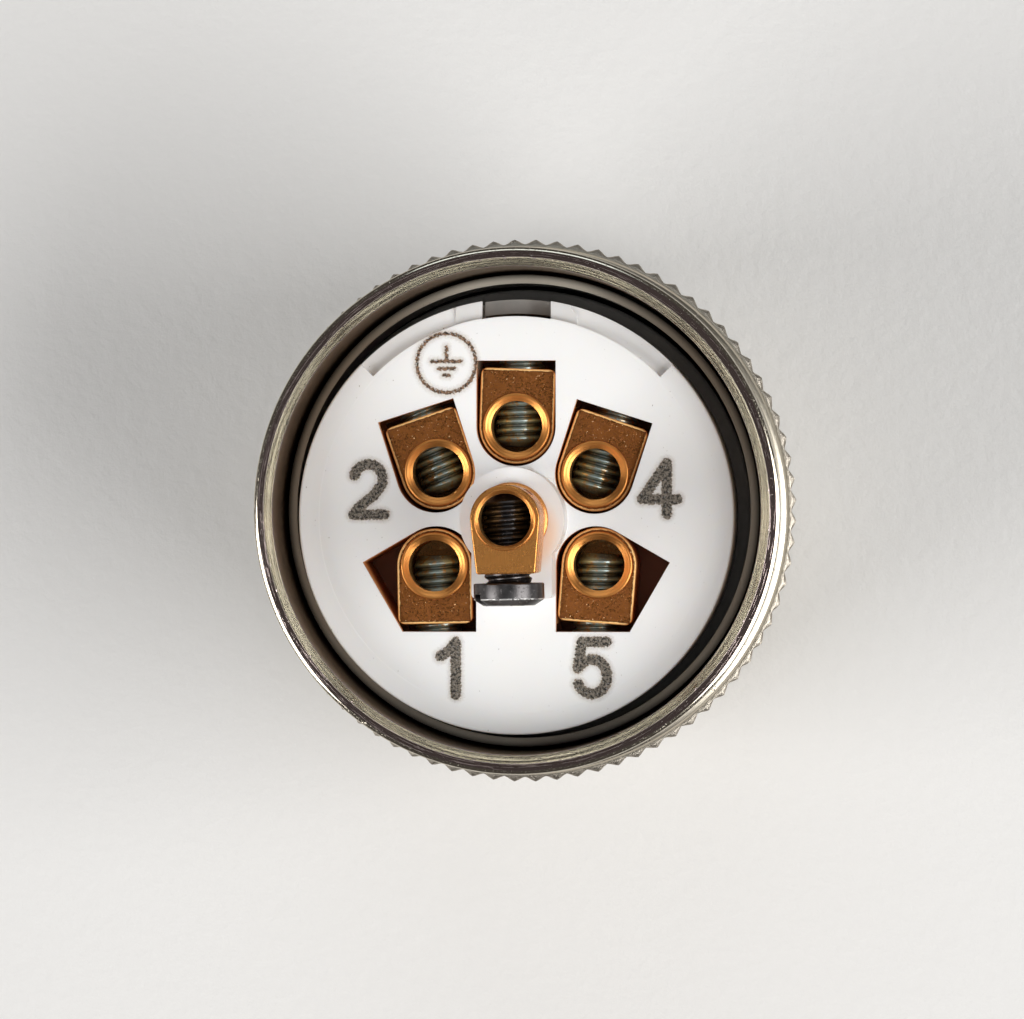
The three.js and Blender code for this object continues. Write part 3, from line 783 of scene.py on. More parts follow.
def white_finish(shades):
    """White plastic, with painted shade, brown and dark down inside the pockets and darker on the lower guide tops,
    and a painted warm glow from the brass on the hub.
    """
    finish = Finish("white_plastic", {
        "IOR": 1.5, "Subsurface Weight": 0.25, "Subsurface Scale": MM,
        "Subsurface Radius": (1.0, 0.8, 0.6),
    })
    spot = finish.spot()
    cloud = finish.noise(spot, 0.25, 3.0)
    speck = finish.step(finish.noise(spot, 7.0, 2.0, 0.4), 0.755, 0.78)
    grain = finish.noise(spot, 24.0, 2.0)
    x, y, z = finish.parts(spot)
    flat = finish.vector(x + 0.2, y + 0.3, 0.0)
    radius = finish.length_of(flat)
    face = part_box("terminal_insert")[0].z / MM + bpy.context.scene.connector_insert.face_height / MM
    below = 1.0 - finish.step(z, face - 0.45, face - 0.06)
    # Painted shade: the guide blocks' tops, which lie lower than the face, are darkened.
    guide = finish.step(z, face - 0.37, face - 0.33) * (1.0 - finish.step(z, face - 0.2, face - 0.05))
    guide = guide * finish.step(radius, 9.95, 10.1)
    inside = below * (1.0 - finish.step(radius, 9.9, 10.0))
    base = finish.blend(cloud, tinted(shades.white, 0.975), tinted(shades.white, 1.02))
    base = finish.blend(guide, base, tinted(shades.white, 0.68))
    base = finish.blend(speck * 0.8, base, (0.35, 0.31, 0.27))
    nearness = finish.length_of(finish.vector(x + 0.2 - 0.1, y + 0.45, 0.0))
    # Painted glow: light reflected from the brass centre terminal, painted as a warm tint on the hub's top.
    glow = finish.length_of(finish.vector(x + 0.2 - 0.28, y + 1.1, 0.0))
    brass_glow = (1.0 - finish.step(glow, 1.5, 2.4)) * finish.step(z, face + 0.1, face + 0.3)
    dirt = finish.step(nearness, 2.55, 2.7) * (1.0 - finish.step(nearness, 2.75, 3.1))
    dirt = dirt * finish.step(finish.noise(spot, 1.1, 4.0, 0.6), 0.50, 0.66)
    dirt = dirt * (1.0 - finish.step(z, face + 0.1, face + 0.8))
    base = finish.blend(dirt * 0.4, base, (0.50, 0.38, 0.26))
    base = finish.blend(brass_glow * 0.7, base, (0.96, 0.66, 0.44))
    # Painted shade down inside the pockets: brown, darker the deeper it goes.
    brown = finish.blend(finish.step(z, face - 4.0, face - 0.3), (0.50, 0.19, 0.06), (0.80, 0.38, 0.14))
    finish.wear("Base Color", finish.blend(inside, base, brown))
    finish.wear("Roughness", 0.36 + 0.1 * grain)
    witness = finish.step(radius, 10.05, 10.12)
    low = finish.bump(grain, 0.08, 0.00002)
    finish.wear("Normal", finish.bump(witness, 0.35, 0.00002, low))
    return finish.material


def grey_finish(shades):
    finish = Finish("grey_plastic", {"IOR": 1.5})
    spot = finish.spot()
    cloud = finish.noise(spot, 1.4, 4.0, 0.6)
    fibre = finish.noise(finish.scaled(spot, 1.0), 18.0, 2.0, 0.7)
    base = finish.blend(cloud, tinted(shades.grey, 0.85), tinted(shades.grey, 1.15))
    finish.wear("Base Color", base)
    finish.wear("Roughness", 0.42 + 0.14 * fibre)
    finish.wear("Normal", finish.bump(fibre, 0.12, 0.00002))
    return finish.material


def black_finish(shades):
    finish = Finish("black_plastic", {"IOR": 1.5})
    spot = finish.spot()
    lines = finish.turning(spot, 12.0, 1.2)
    dust = finish.step(finish.noise(spot, 9.0, 2.0, 0.4), 0.70, 0.76)
    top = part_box("insulating_sleeve")[1].z / MM
    # Painted sheen: the sleeve's top face is painted a much lighter grey than its black sides.
    wear_and_sheen = finish.step(finish.parts(spot)[2], top - 0.1, top - 0.02)
    base = finish.blend(wear_and_sheen, shades.black, tinted(shades.black, 12.0))
    finish.wear("Base Color", finish.blend(dust * 0.6, base, (0.25, 0.23, 0.21)))
    finish.wear("Roughness", 0.24 + 0.16 * lines + 0.2 * dust)
    finish.wear("Normal", finish.bump(lines, 0.15, 0.00003))
    return finish.material


def rubber_finish(shades):
    finish = Finish("black_rubber", {"IOR": 1.45})
    spot = finish.spot()
    grain = finish.noise(spot, 16.0, 3.0, 0.6)
    bloom = finish.noise(spot, 0.8, 3.0)
    base = finish.blend(bloom * 0.5, shades.rubber, tinted(shades.rubber, 3.0))
    finish.wear("Base Color", base)
    finish.wear("Roughness", 0.6 + 0.2 * grain)
    finish.wear("Normal", finish.bump(grain, 0.2, 0.00003))
    return finish.material


def burnt(name, shade, cover, gaps):
    """Burnt-in marks: specks of many depths inside the strokes and a faint stain around them."""
    finish = Finish(name, {"IOR": 1.5, "Roughness": 0.6})
    spot = finish.spot()
    gap = finish.node("Attribute", {"attribute_name": "stroke_gap"}, output="Fac")
    frayed = gap + 0.3 * (finish.noise(spot, 8.0, 4.0, 0.7) - 0.5)
    inside = 1.0 - finish.step(frayed, -0.04, 0.05)
    holes = finish.step(finish.noise(spot, 8.0, 2.0, 0.7), gaps, gaps + 0.05)
    halo = 1.0 - finish.step(frayed, -0.02, 0.28)
    grain = finish.step(finish.noise(spot, 7.0, 3.0, 0.7), 0.42, 0.58)
    tint = finish.blend(grain, tinted(shade, 0.1), tinted(shade, 1.3))
    finish.wear("Base Color", finish.blend(inside, (0.46, 0.34, 0.23), tint))
    finish.wear("Alpha", 0.22 * halo + inside * (cover - 0.6 * cover * holes))
    return finish.material


def mark_finish(shades):
    return burnt("burnt_mark", shades.ink, 0.84, 0.60)


def fine_mark_finish(shades):
    return burnt("burnt_line", shades.singe, 0.80, 0.56)


def paper_finish(shades):
    finish = Finish("paper", {"Roughness": 0.9, "IOR": 1.4})
    spot = finish.spot()
    cloud = finish.noise(spot, 0.02, 3.0)
    tooth = finish.noise(spot, 1.1, 4.0, 0.6)
    base = finish.blend(cloud, tinted(shades.paper, 0.97), tinted(shades.paper, 1.03))
    finish.wear("Base Color", base)
    finish.wear("Normal", finish.bump(tooth, 0.22, 0.0003))
    return finish.material


MAKERS = {
    "nickel": nickel_finish,
    "satin_nickel": satin_nickel_finish,
    "brass": brass_finish,
    "clean_brass": clean_brass_finish,
    "dark_steel": steel_finish,
    "zinc_steel": zinc_finish,
    "spring_steel": spring_finish,
    "white_plastic": white_finish,
    "grey_plastic": grey_finish,
    "black_plastic": black_finish,
    "black_rubber": rubber_finish,
    "burnt_mark": mark_finish,
    "burnt_line": fine_mark_finish,
    "paper": paper_finish,
}


FINISHED = {}


def finish_named(name):
    """The finish of that name, drawn the first time that it is asked for."""
    if name not in FINISHED:
        FINISHED[name] = MAKERS[name](bpy.context.scene.connector_finishes)
    return FINISHED[name]


# ------------------------------------------------------------------ body, nut and rings


def radius_of(node):
    """Outside radius of a solid that is centred on the axis."""
    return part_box(node)[1].x


class CONNECTOR_OT_body(bpy.types.Operator):
    """Model the turned metal body with its rear rim and its ring grooves"""

    bl_idname = "connector.body"
    bl_label = "Metal body"

    def execute(self, context):
        s = context.scene.connector_shell
        rim, top = radius_of("connector_body"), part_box("connector_body")[1].z
        bore = radius_of("insulating_sleeve") + s.sleeve_gap
        flat = bore + s.rim_flat
        cup = top - s.cup_height
        floor = s.barrel_length + s.floor_thickness
        ring_low, ring_high = (corner.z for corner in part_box("nut_snap_ring"))
        seal_low, seal_high = (corner.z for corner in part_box("front_seal_ring"))
        brake_low, brake_high = (corner.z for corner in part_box("nut_brake_ring"))
        play = 0.05 * MM
        groove = s.barrel_radius - s.groove_depth
        brake_floor = s.body_radius - s.groove_depth
        foot = flat + s.rim_bevel
        step, drop = rim - foot, top - s.bevel_drop
        rim_edge = [
            (rim, drop - s.shoulder_drop - 0.12 * MM), (rim, drop - s.shoulder_drop),
            (foot + 0.75 * step, drop - 0.55 * s.shoulder_drop),
            (foot + 0.35 * step, drop - 0.18 * s.shoulder_drop), (foot, drop), (flat, top),
        ]
        profile = [
            (s.barrel_radius - s.edge, 0.0),
            (s.barrel_radius, s.edge),
            (s.barrel_radius, seal_low - play),
            (groove, seal_low - play),
            (groove, seal_high + play),
            (s.barrel_radius, seal_high + play),
            (s.barrel_radius, ring_low - play),
            (groove, ring_low - play),
            (groove, ring_high + play),
            (s.barrel_radius, ring_high + play),
            (s.barrel_radius, s.barrel_length),
            (s.body_radius - s.edge, s.barrel_length),
            (s.body_radius, s.barrel_length + s.edge),
            (s.body_radius, brake_low - play),
            (brake_floor, brake_low - play),
            (brake_floor, brake_high + play),
            (s.body_radius, brake_high + play),
            (s.body_radius, cup),
            (rim - s.edge, cup),
            (rim, cup + s.edge),
            *rim_edge,
            (bore, top),
            (bore, floor),
            (s.barrel_bore, floor),
            (s.barrel_bore, 0.0),
        ]
        piece = smoothed(turned("turned_body", softened(profile, 0.035 * MM)))
        dressed(piece, finish_named("nickel"), "connector", "nickel", "connector_body")
        return {"FINISHED"}


def cut_teeth(count, high_foot, taper, knurl_low, knurl_high):
    """Press the feet of the teeth into the band, in edit mode."""
    pitch = math.tau / count
    shape = bmesh.from_edit_mesh(bpy.context.edit_object.data)
    levels = sorted({round(v.co.z, 7) for v in shape.verts})

    def phase(v):
        return (math.atan2(v.co.y, v.co.x) / pitch) % 1.0

    for level in levels:
        if not knurl_low - FINE <= level <= knurl_high + FINE:
            continue
        foot = high_foot - taper * (knurl_high - level) / (knurl_high - knurl_low)
        ring = [v for v in shape.verts if abs(v.co.z - level) < FINE * 10]
        outer = max(v.co.xy.length for v in ring)
        if outer <= foot + FINE * 10:
            continue
        for away, depth in enumerate((1.0, 0.70, 0.30)):
            share = (outer - (outer - foot) * depth) / outer
            pick("VERT", lambda v: (
                abs(v.co.z - level) < FINE * 10
                and v.co.xy.length > outer - FINE * 10
                and abs(min(phase(v), 1.0 - phase(v)) * 6 - away) < 0.3
            ))
            bpy.ops.transform.resize(value=(share, share, 1), center_override=(0, 0, level))


class CONNECTOR_OT_nut(bpy.types.Operator):
    """Model the coupling nut with its knurl and its inner thread"""

    bl_idname = "connector.nut"
    bl_label = "Coupling nut"

    def execute(self, context):
        s = context.scene.connector_shell
        low, high = (corner.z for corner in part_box("coupling_nut"))
        tip = radius_of("coupling_nut")
        foot = tip - s.tooth_height
        bore = foot - s.nut_wall
        collar = foot - 0.13 * MM
        knurl_high = high - s.nut_shoulder
        knurl_low = knurl_high - s.knurl_length
        skirt = foot - 0.75 * MM
        thread = s.barrel_radius + 1.0 * MM
        ceiling = s.barrel_length - 0.3 * MM
        flange_low = ceiling - 1.1 * MM
        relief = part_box("nut_snap_ring")[0].z - 0.3 * MM
        inner_flange = s.barrel_radius + 0.2 * MM
        profile = softened([
            (thread + s.edge, low),
            (skirt - 2 * s.edge, low),
            (skirt, low + 2 * s.edge),
            (skirt, knurl_low - s.edge),
            (collar - s.knurl_taper, knurl_low - FINE),
        ], 0.06 * MM, closed=False)
        cone = [(foot - 0.04 * MM, 0.0), (foot + 0.3 * s.tooth_height, 0.04 * MM),
                (foot + 0.65 * s.tooth_height, 0.085 * MM), (tip, 0.15 * MM)]
        profile += [(radius - s.knurl_taper, knurl_low + rise) for radius, rise in cone]
        profile += [(radius, knurl_high - rise) for radius, rise in reversed(cone)]
        profile += softened([
            (collar, knurl_high + FINE),
            (collar, high - 0.3 * MM),
            (collar - 0.09 * MM, high - 0.1 * MM),
            (collar - 0.3 * MM, high),
            (bore, high),
            (bore, ceiling),
            (inner_flange, ceiling),
            (inner_flange, flange_low),
            (thread + 0.45 * MM, flange_low),
            (thread + 0.45 * MM, relief),
            (thread, relief - 0.3 * MM),
        ], 0.05 * MM, closed=False)
        turns = int((relief - low - 1.2 * MM) / s.thread_pitch)
        for turn in range(turns):
            start = relief - 0.45 * MM - turn * s.thread_pitch
            profile += [
                (thread, start),
                (thread + 0.3 * MM, start - 0.35 * s.thread_pitch),
                (thread + 0.3 * MM, start - 0.45 * s.thread_pitch),
                (thread, start - 0.8 * s.thread_pitch),
            ]
        profile.append((thread, low + s.edge))
        corners = s.tooth_count * 6
        piece = turned("knurled_nut", profile, corners)
        with editing(piece):
            cut_teeth(s.tooth_count, foot, s.knurl_taper, knurl_low, knurl_high)
            tidy_shell()
        smoothed(piece, 28.0)
        dressed(piece, finish_named("satin_nickel"), "coupling_nut", "nickel", "coupling_nut")
        return {"FINISHED"}


def plain_ring(name, node, inner, edge, finish, opening=0.0, slope=0.0):
    """A ring of square section with soft edges, between the heights of its solid."""
    low, high = (corner.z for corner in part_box(node))
    outer = radius_of(node)
    section = [(outer, low), (outer, high - slope), (inner, high), (inner, low)]
    piece = turned(name, softened(section, edge, 4))
    if opening:
        reach = outer + MM
        gap = square_bar("gap", (-opening / 2, 0, low - MM), (opening / 2, reach, high + MM))
        boolean(piece, "DIFFERENCE", gap)
    smoothed(piece)
    return dressed(piece, finish_named(finish), "connector", finish, node)


class CONNECTOR_OT_rings(bpy.types.Operator):
    """Model the insulating sleeve, the snap ring, the rubber rings and the gasket"""

    bl_idname = "connector.rings"
    bl_label = "Sleeve and rings"

    def execute(self, context):
        s = context.scene.connector_shell
        groove = s.barrel_radius - s.groove_depth + 0.05 * MM
        sleeve = radius_of("insulating_sleeve") - 0.47 * MM
        plain_ring(
            "sleeve_shell", "insulating_sleeve", sleeve, 0.06 * MM, "black_plastic",
            slope=0.09 * MM,
        )
        plain_ring(
            "snap_ring", "nut_snap_ring", groove, 0.1 * MM, "spring_steel", 2.4 * MM,
        )
        brake = s.body_radius - s.groove_depth + 0.05 * MM
        plain_ring("brake_ring", "nut_brake_ring", brake, 0.12 * MM, "black_rubber")
        gasket = s.barrel_bore + 0.05 * MM
        plain_ring("flat_gasket", "body_gasket", gasket, 0.08 * MM, "black_rubber")
        low, high = (corner.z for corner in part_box("front_seal_ring"))
        half = (high - low) / 2
        centre = radius_of("front_seal_ring") - half
        section = [
            (centre + half * math.cos(math.tau * i / 20), low + half + half * math.sin(math.tau * i / 20))
            for i in range(20)
        ]
        seal = smoothed(turned("round_seal", section))
        dressed(seal, finish_named("black_rubber"), "connector", "black_rubber", "front_seal_ring")
        return {"FINISHED"}


# ------------------------------------------------------------------ insert and carrier


def unit_centre():
    """The loose contact unit's axis, which lies a little off the body's."""
    low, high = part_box("terminal_insert")
    return (low.x + high.x) / 2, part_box("contact_carrier")[0].y + flange_radius()


def flange_radius():
    low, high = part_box("contact_carrier")
    return (high.x - low.x) / 2


# The middle of each pocket, from the contact unit's axis, and the way that it faces
POCKETS = {
    "pe": (0.0, 4.60, 90.0),
    "2": (-4.11363, 2.225, 107.8),
    "1": (-4.11363, -2.525, 270.0),
    "5": (4.11363, -2.525, 270.0),
    "4": (4.00970, 2.165, 72.2),
    "centre": (0.0, -0.15, 270.0),
}
WIDE = {"1": 210.0, "5": 330.0}  # pockets with a second slot, and its angle
# How far each loose terminal lies from the middle of its pocket
ASIDE = {
    "pe": (0.0, 0.0), "2": (0.09, 0.04), "1": (-0.1, 0.0), "5": (0.1, 0.05), "4": (0.0, 0.0),
    "centre": (0.0, 0.0),
}
HEAD_GAPS = {"pe": 0.5, "2": 0.5, "1": 1.0, "5": 0.95, "4": 0.5, "centre": 0.47}


def pocket_tools(name, sizes, face, bottom):
    """Cutters for one pocket: its hollow, the window of its screw and its neck hole."""
    terminal = bpy.context.scene.connector_terminals
    x, y, faces = POCKETS[name]
    half = terminal.block_radius + sizes.pocket_gap
    reach = terminal.block_reach + 0.4 * MM
    floor, above = face - sizes.pocket_depth, face + MM
    hollow = blunt_bar("hollow", half, half, half, reach, 0.0, floor - MM, above)
    place(hollow, 0, 0, faces)
    if name in WIDE:
        hub = 2.03 * MM
        inward = abs(x) * MM - hub - half
        second = place(copied(hollow, "second"), -math.copysign(inward, x), 0)
        slot = blunt_bar("slot", half, half, half, terminal.block_reach + 0.19 * MM, 0.0, floor - MM, above)
        boolean(hollow, "UNION", second, place(slot, 0, 0, WIDE[name]))
        end = terminal.block_reach + 0.19 * MM
        far = 9 * MM
        beyond = square_bar("beyond", (end, -far, floor - 2 * MM), (far, far, above + MM))
        boolean(hollow, "DIFFERENCE", place(beyond, 0, 0, WIDE[name]))
    with editing(hollow):
        bpy.ops.mesh.bisect(
            plane_co=(0, 0, floor), plane_no=(0, 0, 1), use_fill=True, clear_inner=True,
        )
        tidy_shell()
    screw = floor + 0.15 * MM + 0.35 * MM + terminal.block_height - 2.25 * MM
    head = terminal.head_radius
    side = head + 0.6 * MM
    window = square_bar(
        "window", (terminal.block_reach, -side, screw - head - 0.3 * MM),
        (11.13 * MM, side, screw + head + 0.1 * MM),
    )
    place(window, 0, 0, faces)
    neck = round_bar("neck", 1.6 * MM, bottom - MM, floor + MM, 48)
    return [place(tool, x * MM, y * MM) for tool in (hollow, window, neck)]


class CONNECTOR_OT_insert(bpy.types.Operator):
    """Model the white insert with its pockets, ledges, guide blocks and raised hub"""

    bl_idname = "connector.insert"
    bl_label = "Terminal insert"

    def execute(self, context):
        s = context.scene.connector_insert
        low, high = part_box("terminal_insert")
        radius = (high.x - low.x) / 2
        bottom, face = low.z, low.z + s.face_height
        blank = softened([
            (0.5 * radius, bottom), (radius, bottom), (radius, face), (0.5 * radius, face),
        ], 0.12 * MM, 4, closed=False)
        piece = turned("white_insert", blank, ROUND, solid=True)
        ledge, outer, above = radius - s.ledge_width, radius + MM, face + MM
        ledges = sector("ledges", ledge - 0.02 * MM, outer, 44, 135.6, face - s.ledge_depth, above)
        guides = square_bar("guides", (-3.1 * MM, 0, bottom), (3.1 * MM, outer + MM, above + MM))
        boolean(ledges, "DIFFERENCE", guides)
        tops = sector("guide_tops", ledge, outer, 66, 114, face - 0.35 * MM, above)
        chamfer = square_bar("chamfer", (-0.3 * MM, -0.3 * MM, face - s.ledge_depth), (0.3 * MM, 0.3 * MM, above))
        place(chamfer, 3.12 * MM, math.sqrt(radius ** 2 - (3.12 * MM) ** 2), 45)
        key = sector("key_way", ledge - 0.03 * MM, outer, 60, 120, bottom - MM, above + MM)
        key_room = square_bar(
            "key_room", (-1.76 * MM, 0, bottom - 2 * MM), (1.76 * MM, outer, above + 2 * MM),
        )
        boolean(key, "INTERSECT", key_room)
        boolean(piece, "DIFFERENCE", ledges, tops, chamfer, key)
        x, y, faces = POCKETS["centre"]
        hub = blunt_bar(
            "hub", 2.65 * MM, 2.03 * MM, 2.03 * MM, 4.0 * MM, 0.25 * MM, face - MM, high.z,
        )
        boolean(piece, "UNION", place(hub, x * MM, y * MM, faces))
        neck = round_bar("neck", 1.6 * MM, bottom - MM, high.z + MM, 48)
        boolean(piece, "DIFFERENCE", place(neck, x * MM, y * MM))
        for name in POCKETS:
            if name != "centre":
                boolean(piece, "DIFFERENCE", *pocket_tools(name, s, face, bottom))
        with editing(piece):
            bpy.ops.mesh.remove_doubles(threshold=2e-6)
            bpy.ops.mesh.dissolve_limited(angle_limit=math.radians(0.5))
        bevelled(piece, s.edge, 2, 40.0)
        place(piece, *unit_centre())
        smoothed(piece, 40.0)
        dressed(piece, finish_named("white_plastic"), "connector", "white_plastic", "terminal_insert")
        return {"FINISHED"}


class CONNECTOR_OT_carrier(bpy.types.Operator):
    """Model the grey contact carrier with its stepped holes, key and grooves"""

    bl_idname = "connector.carrier"
    bl_label = "Contact carrier"

    def execute(self, context):
        low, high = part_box("contact_carrier")
        flange = flange_radius()
        bottom, key_top = low.z, high.z
        flange_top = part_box("terminal_insert")[0].z - 0.15 * MM
        flange_low = flange_top - 3.0 * MM
        barrel = 9.0 * MM
        blank = softened([
            (0.5 * barrel, bottom), (barrel, bottom), (barrel, flange_low),
            (flange, flange_low), (flange, flange_top), (0.5 * barrel, flange_top),
        ], 0.2 * MM, 3, closed=False)
        piece = turned("grey_carrier", blank, ROUND, solid=True)
        key = sector("key", 10.41 * MM, 11.13 * MM, 60, 120, flange_top - MM, key_top)
        sides = square_bar(
            "sides", (-1.71 * MM, 0, flange_top - 2 * MM), (1.71 * MM, 12 * MM, key_top + MM),
        )
        boolean(piece, "UNION", boolean(key, "INTERSECT", sides))
        for x, y, _ in POCKETS.values():
            shoulder = round_bar("shoulder", 2.08 * MM, 16.05 * MM, flange_top + MM, 48)
            hole = round_bar("hole", 1.8 * MM, 2.4 * MM, flange_top + 2 * MM, 48)
            lead = round_bar("lead", 1.2 * MM, bottom - MM, 3.4 * MM, 48)
            tools = [place(tool, x * MM, y * MM) for tool in (shoulder, hole, lead)]
            boolean(piece, "DIFFERENCE", *tools)
        for turn in (90, 200, 340):
            groove = square_bar(
                "groove", (barrel - 0.6 * MM, -0.55 * MM, bottom - MM),
                (barrel + MM, 0.55 * MM, bottom + 4 * MM),
            )
            boolean(piece, "DIFFERENCE", place(groove, 0, 0, turn))
        with editing(piece):
            bpy.ops.mesh.remove_doubles(threshold=2e-6)
            bpy.ops.mesh.dissolve_limited(angle_limit=math.radians(0.5))
        bevelled(piece, 0.06 * MM, 2, 40.0)
        place(piece, *unit_centre())
        smoothed(piece, 40.0)
        dressed(piece, finish_named("grey_plastic"), "connector", "grey_plastic", "contact_carrier")
        return {"FINISHED"}


# ------------------------------------------------------------------ terminals and screws


def thread_rod(name, crest, root, pitch, start, turns):
    """A threaded rod along Z: one turn's zigzag wound up, with flat closed ends."""
    deselect()
    bpy.ops.mesh.primitive_plane_add(size=pitch, location=(0, 0, 0))
    piece = named(name)
    crown = crest - 0.09 * pitch
    zigzag = [
        (crown, 0.0), (crest, 0.13 * pitch), (crest, 0.30 * pitch), (crown, 0.43 * pitch),
        (root, 0.64 * pitch), (root, 0.77 * pitch), (crown, pitch),
    ]
    with editing(piece):
        first = bmesh.from_edit_mesh(piece.data).verts
        first.ensure_lookup_table()
        corner = first[0].co.copy()
        pick("VERT", lambda v: v.index != 0)
        bpy.ops.mesh.delete(type="VERT")
        bpy.ops.mesh.select_all(action="SELECT")
        bpy.ops.transform.translate(
            value=(zigzag[0][0] - corner.x, -corner.y, start - corner.z),
        )
        for (radius, height), (next_radius, next_height) in zip(zigzag, zigzag[1:]):
            bpy.ops.mesh.extrude_vertices_move(TRANSFORM_OT_translate={
                "value": (next_radius - radius, 0, next_height - height),
            })
    only(piece)
    bpy.ops.object.modifier_add(type="SCREW")
    wind = piece.modifiers[-1]
    wind.axis, wind.angle, wind.screw_offset, wind.iterations = "Z", math.tau, pitch, turns
    wind.steps = wind.render_steps = 36
    wind.use_merge_vertices = False
    bpy.ops.object.modifier_apply(modifier=wind.name)
    end = start + (turns + 1) * pitch
    with editing(piece):
        bpy.ops.mesh.remove_doubles(threshold=1e-6)
        half = (start + end) / 2
        for level, way in ((start, -1), (end, 1)):
            pick("EDGE", lambda e: e.is_boundary and (middle(e).z - half) * way > 0)
            bpy.ops.mesh.extrude_edges_move(
                TRANSFORM_OT_translate={"value": (0, 0, way * 0.3 * pitch)},
            )
            bpy.ops.transform.resize(
                value=(0.86, 0.86, 0), center_override=(0, 0, level + way * 0.2 * pitch),
            )
            bpy.ops.mesh.edge_face_add()
        tidy_shell()
    return piece


def contact_shape(name, centre=False):
    """A brass terminal: its wire bore on the Z axis, its screw side towards +X."""
    s = bpy.context.scene.connector_terminals
    insert_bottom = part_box("terminal_insert")[0].z
    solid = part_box("contact_centre" if centre else "contact_pe")
    socket_low = solid[0].z
    top = solid[1].z - s.boss_height
    low = top - s.block_height
    seat = low - 0.35 * MM
    radius = 1.74 * MM if centre else s.block_radius
    end_half = 1.47 * MM if centre else radius
    reach = 2.7 * MM if centre else s.block_reach
    corner = 0.12 * MM if centre else 0.35 * MM
    piece = blunt_bar(name, radius, radius, end_half, reach, corner, low, top)
    bevelled(piece, s.block_edge, 3, 40.0)
    boss = radius - 0.2 * MM
    width, crown = boss - s.wire_bore, top + s.boss_height
    ring = softened([
        (0.5 * boss, low + MM), (boss, low + MM), (boss, crown - 0.035 * MM),
        (boss - 0.045 * MM, crown), (boss - 0.3 * width, crown),
        (boss - 0.36 * width, crown - 0.02 * MM), (s.wire_bore + 0.34 * width, crown - 0.06 * MM),
        (s.wire_bore + 0.30 * width, crown - 0.075 * MM), (s.wire_bore, crown - 0.13 * MM),
        (s.wire_bore - 0.1 * MM, crown - 0.17 * MM),
    ], 0.02 * MM, 3, closed=False)
    boolean(piece, "UNION", turned("boss", ring, 96, solid=True))
    bore = round_bar("bore", s.wire_bore, top - 4.1 * MM, top + MM, 96)
    axis = top - 2.25 * MM
    tapped = round_bar("tapped", s.screw_radius + 0.06 * MM, -1.5 * MM, reach + MM, 48)
    tapped.rotation_euler = (0, math.pi / 2, 0)
    tapped.location = (0, 0, axis)
    only(tapped)
    bpy.ops.object.transform_apply(location=True, rotation=True, scale=True)
    boolean(piece, "DIFFERENCE", bore, tapped)
    stem = turned(name + "_stem", softened([
        (0.9 * MM, socket_low), (1.6 * MM, socket_low), (1.6 * MM, insert_bottom - 1.05 * MM),
        (1.88 * MM, insert_bottom - 1.05 * MM), (1.88 * MM, insert_bottom - 0.15 * MM),
        (1.4 * MM, insert_bottom - 0.15 * MM), (1.4 * MM, seat), (1.88 * MM, seat),
        (1.88 * MM, low), (1.2 * MM, low + 0.2 * MM),
    ], 0.08 * MM, 3, closed=False), 64, solid=True)
    pin = round_bar("pin", 1.0 * MM, socket_low - MM, socket_low + 8 * MM, 48)
    slit = square_bar(
        "slit", (-2 * MM, -0.175 * MM, socket_low - MM), (2 * MM, 0.175 * MM, socket_low + 5 * MM),
    )
    boolean(stem, "DIFFERENCE", pin, slit)
    joined(piece, stem)
    smoothed(piece, 32.0)
    return remember_place(piece, top)


class CONNECTOR_OT_contacts(bpy.types.Operator):
    """Model one ring terminal, copy it to its five places, and model the centre one"""

    bl_idname = "connector.contacts"
    bl_label = "Brass terminals"

    def execute(self, context):
        ring = contact_shape("ring_terminal")
        for name in TERMINALS:
            centre = name == "centre"
            piece = contact_shape("terminal_centre", True) if centre else copied(ring, "terminal_" + name)
            self.seat(piece, name)
            finish = finish_named("clean_brass" if centre else "brass")
            dressed(piece, finish, "connector", "brass", "contact_" + name)
        bpy.data.objects.remove(ring)
        return {"FINISHED"}

    def seat(self, piece, name):
        place(piece, *terminal_spot(name), TERMINALS[name][0])


def terminal_spot(name):
    """Where a terminal's wire bore stands."""
    x, y, _ = POCKETS[name]
    centre_x, centre_y = unit_centre()
    return centre_x + (x + ASIDE[name][0]) * MM, centre_y + (y + ASIDE[name][1]) * MM


def screw_shape(name, head_gap, reach, slot_turn):
    """A clamping screw along Z, with the wire bore's axis at height 0."""
    s = bpy.context.scene.connector_terminals
    under = reach + head_gap
    turns = round(s.screw_length / s.thread_pitch) - 1
    root = s.screw_radius - 0.42 * s.thread_pitch
    start = under + 0.12 * MM - (turns + 1) * s.thread_pitch
    piece = thread_rod(name, s.screw_radius, root, s.thread_pitch, start, turns)
    end = under + s.head_height
    head_profile = softened([
        (0.5 * s.screw_radius, under),
        (s.head_radius - 0.04 * MM, under),
        (s.head_radius, under + 0.06 * MM),
        (s.head_radius, end - 0.32 * MM),
        (s.head_radius - 0.5 * MM, end),
        (0.3 * MM, end),
    ], 0.05 * MM, 3, closed=False)
    head = turned("head", head_profile, 72, solid=True)
    half = s.driver_slot / 2
    slot = square_bar("slot", (-3 * MM, -half, end - s.driver_slot), (3 * MM, half, end + MM))
    boolean(head, "DIFFERENCE", place(slot, 0, 0, slot_turn))
    bevelled(head, 0.03 * MM, 2, 50.0)
    joined(piece, head)
    smoothed(piece, 30.0)
    return remember_place(piece)


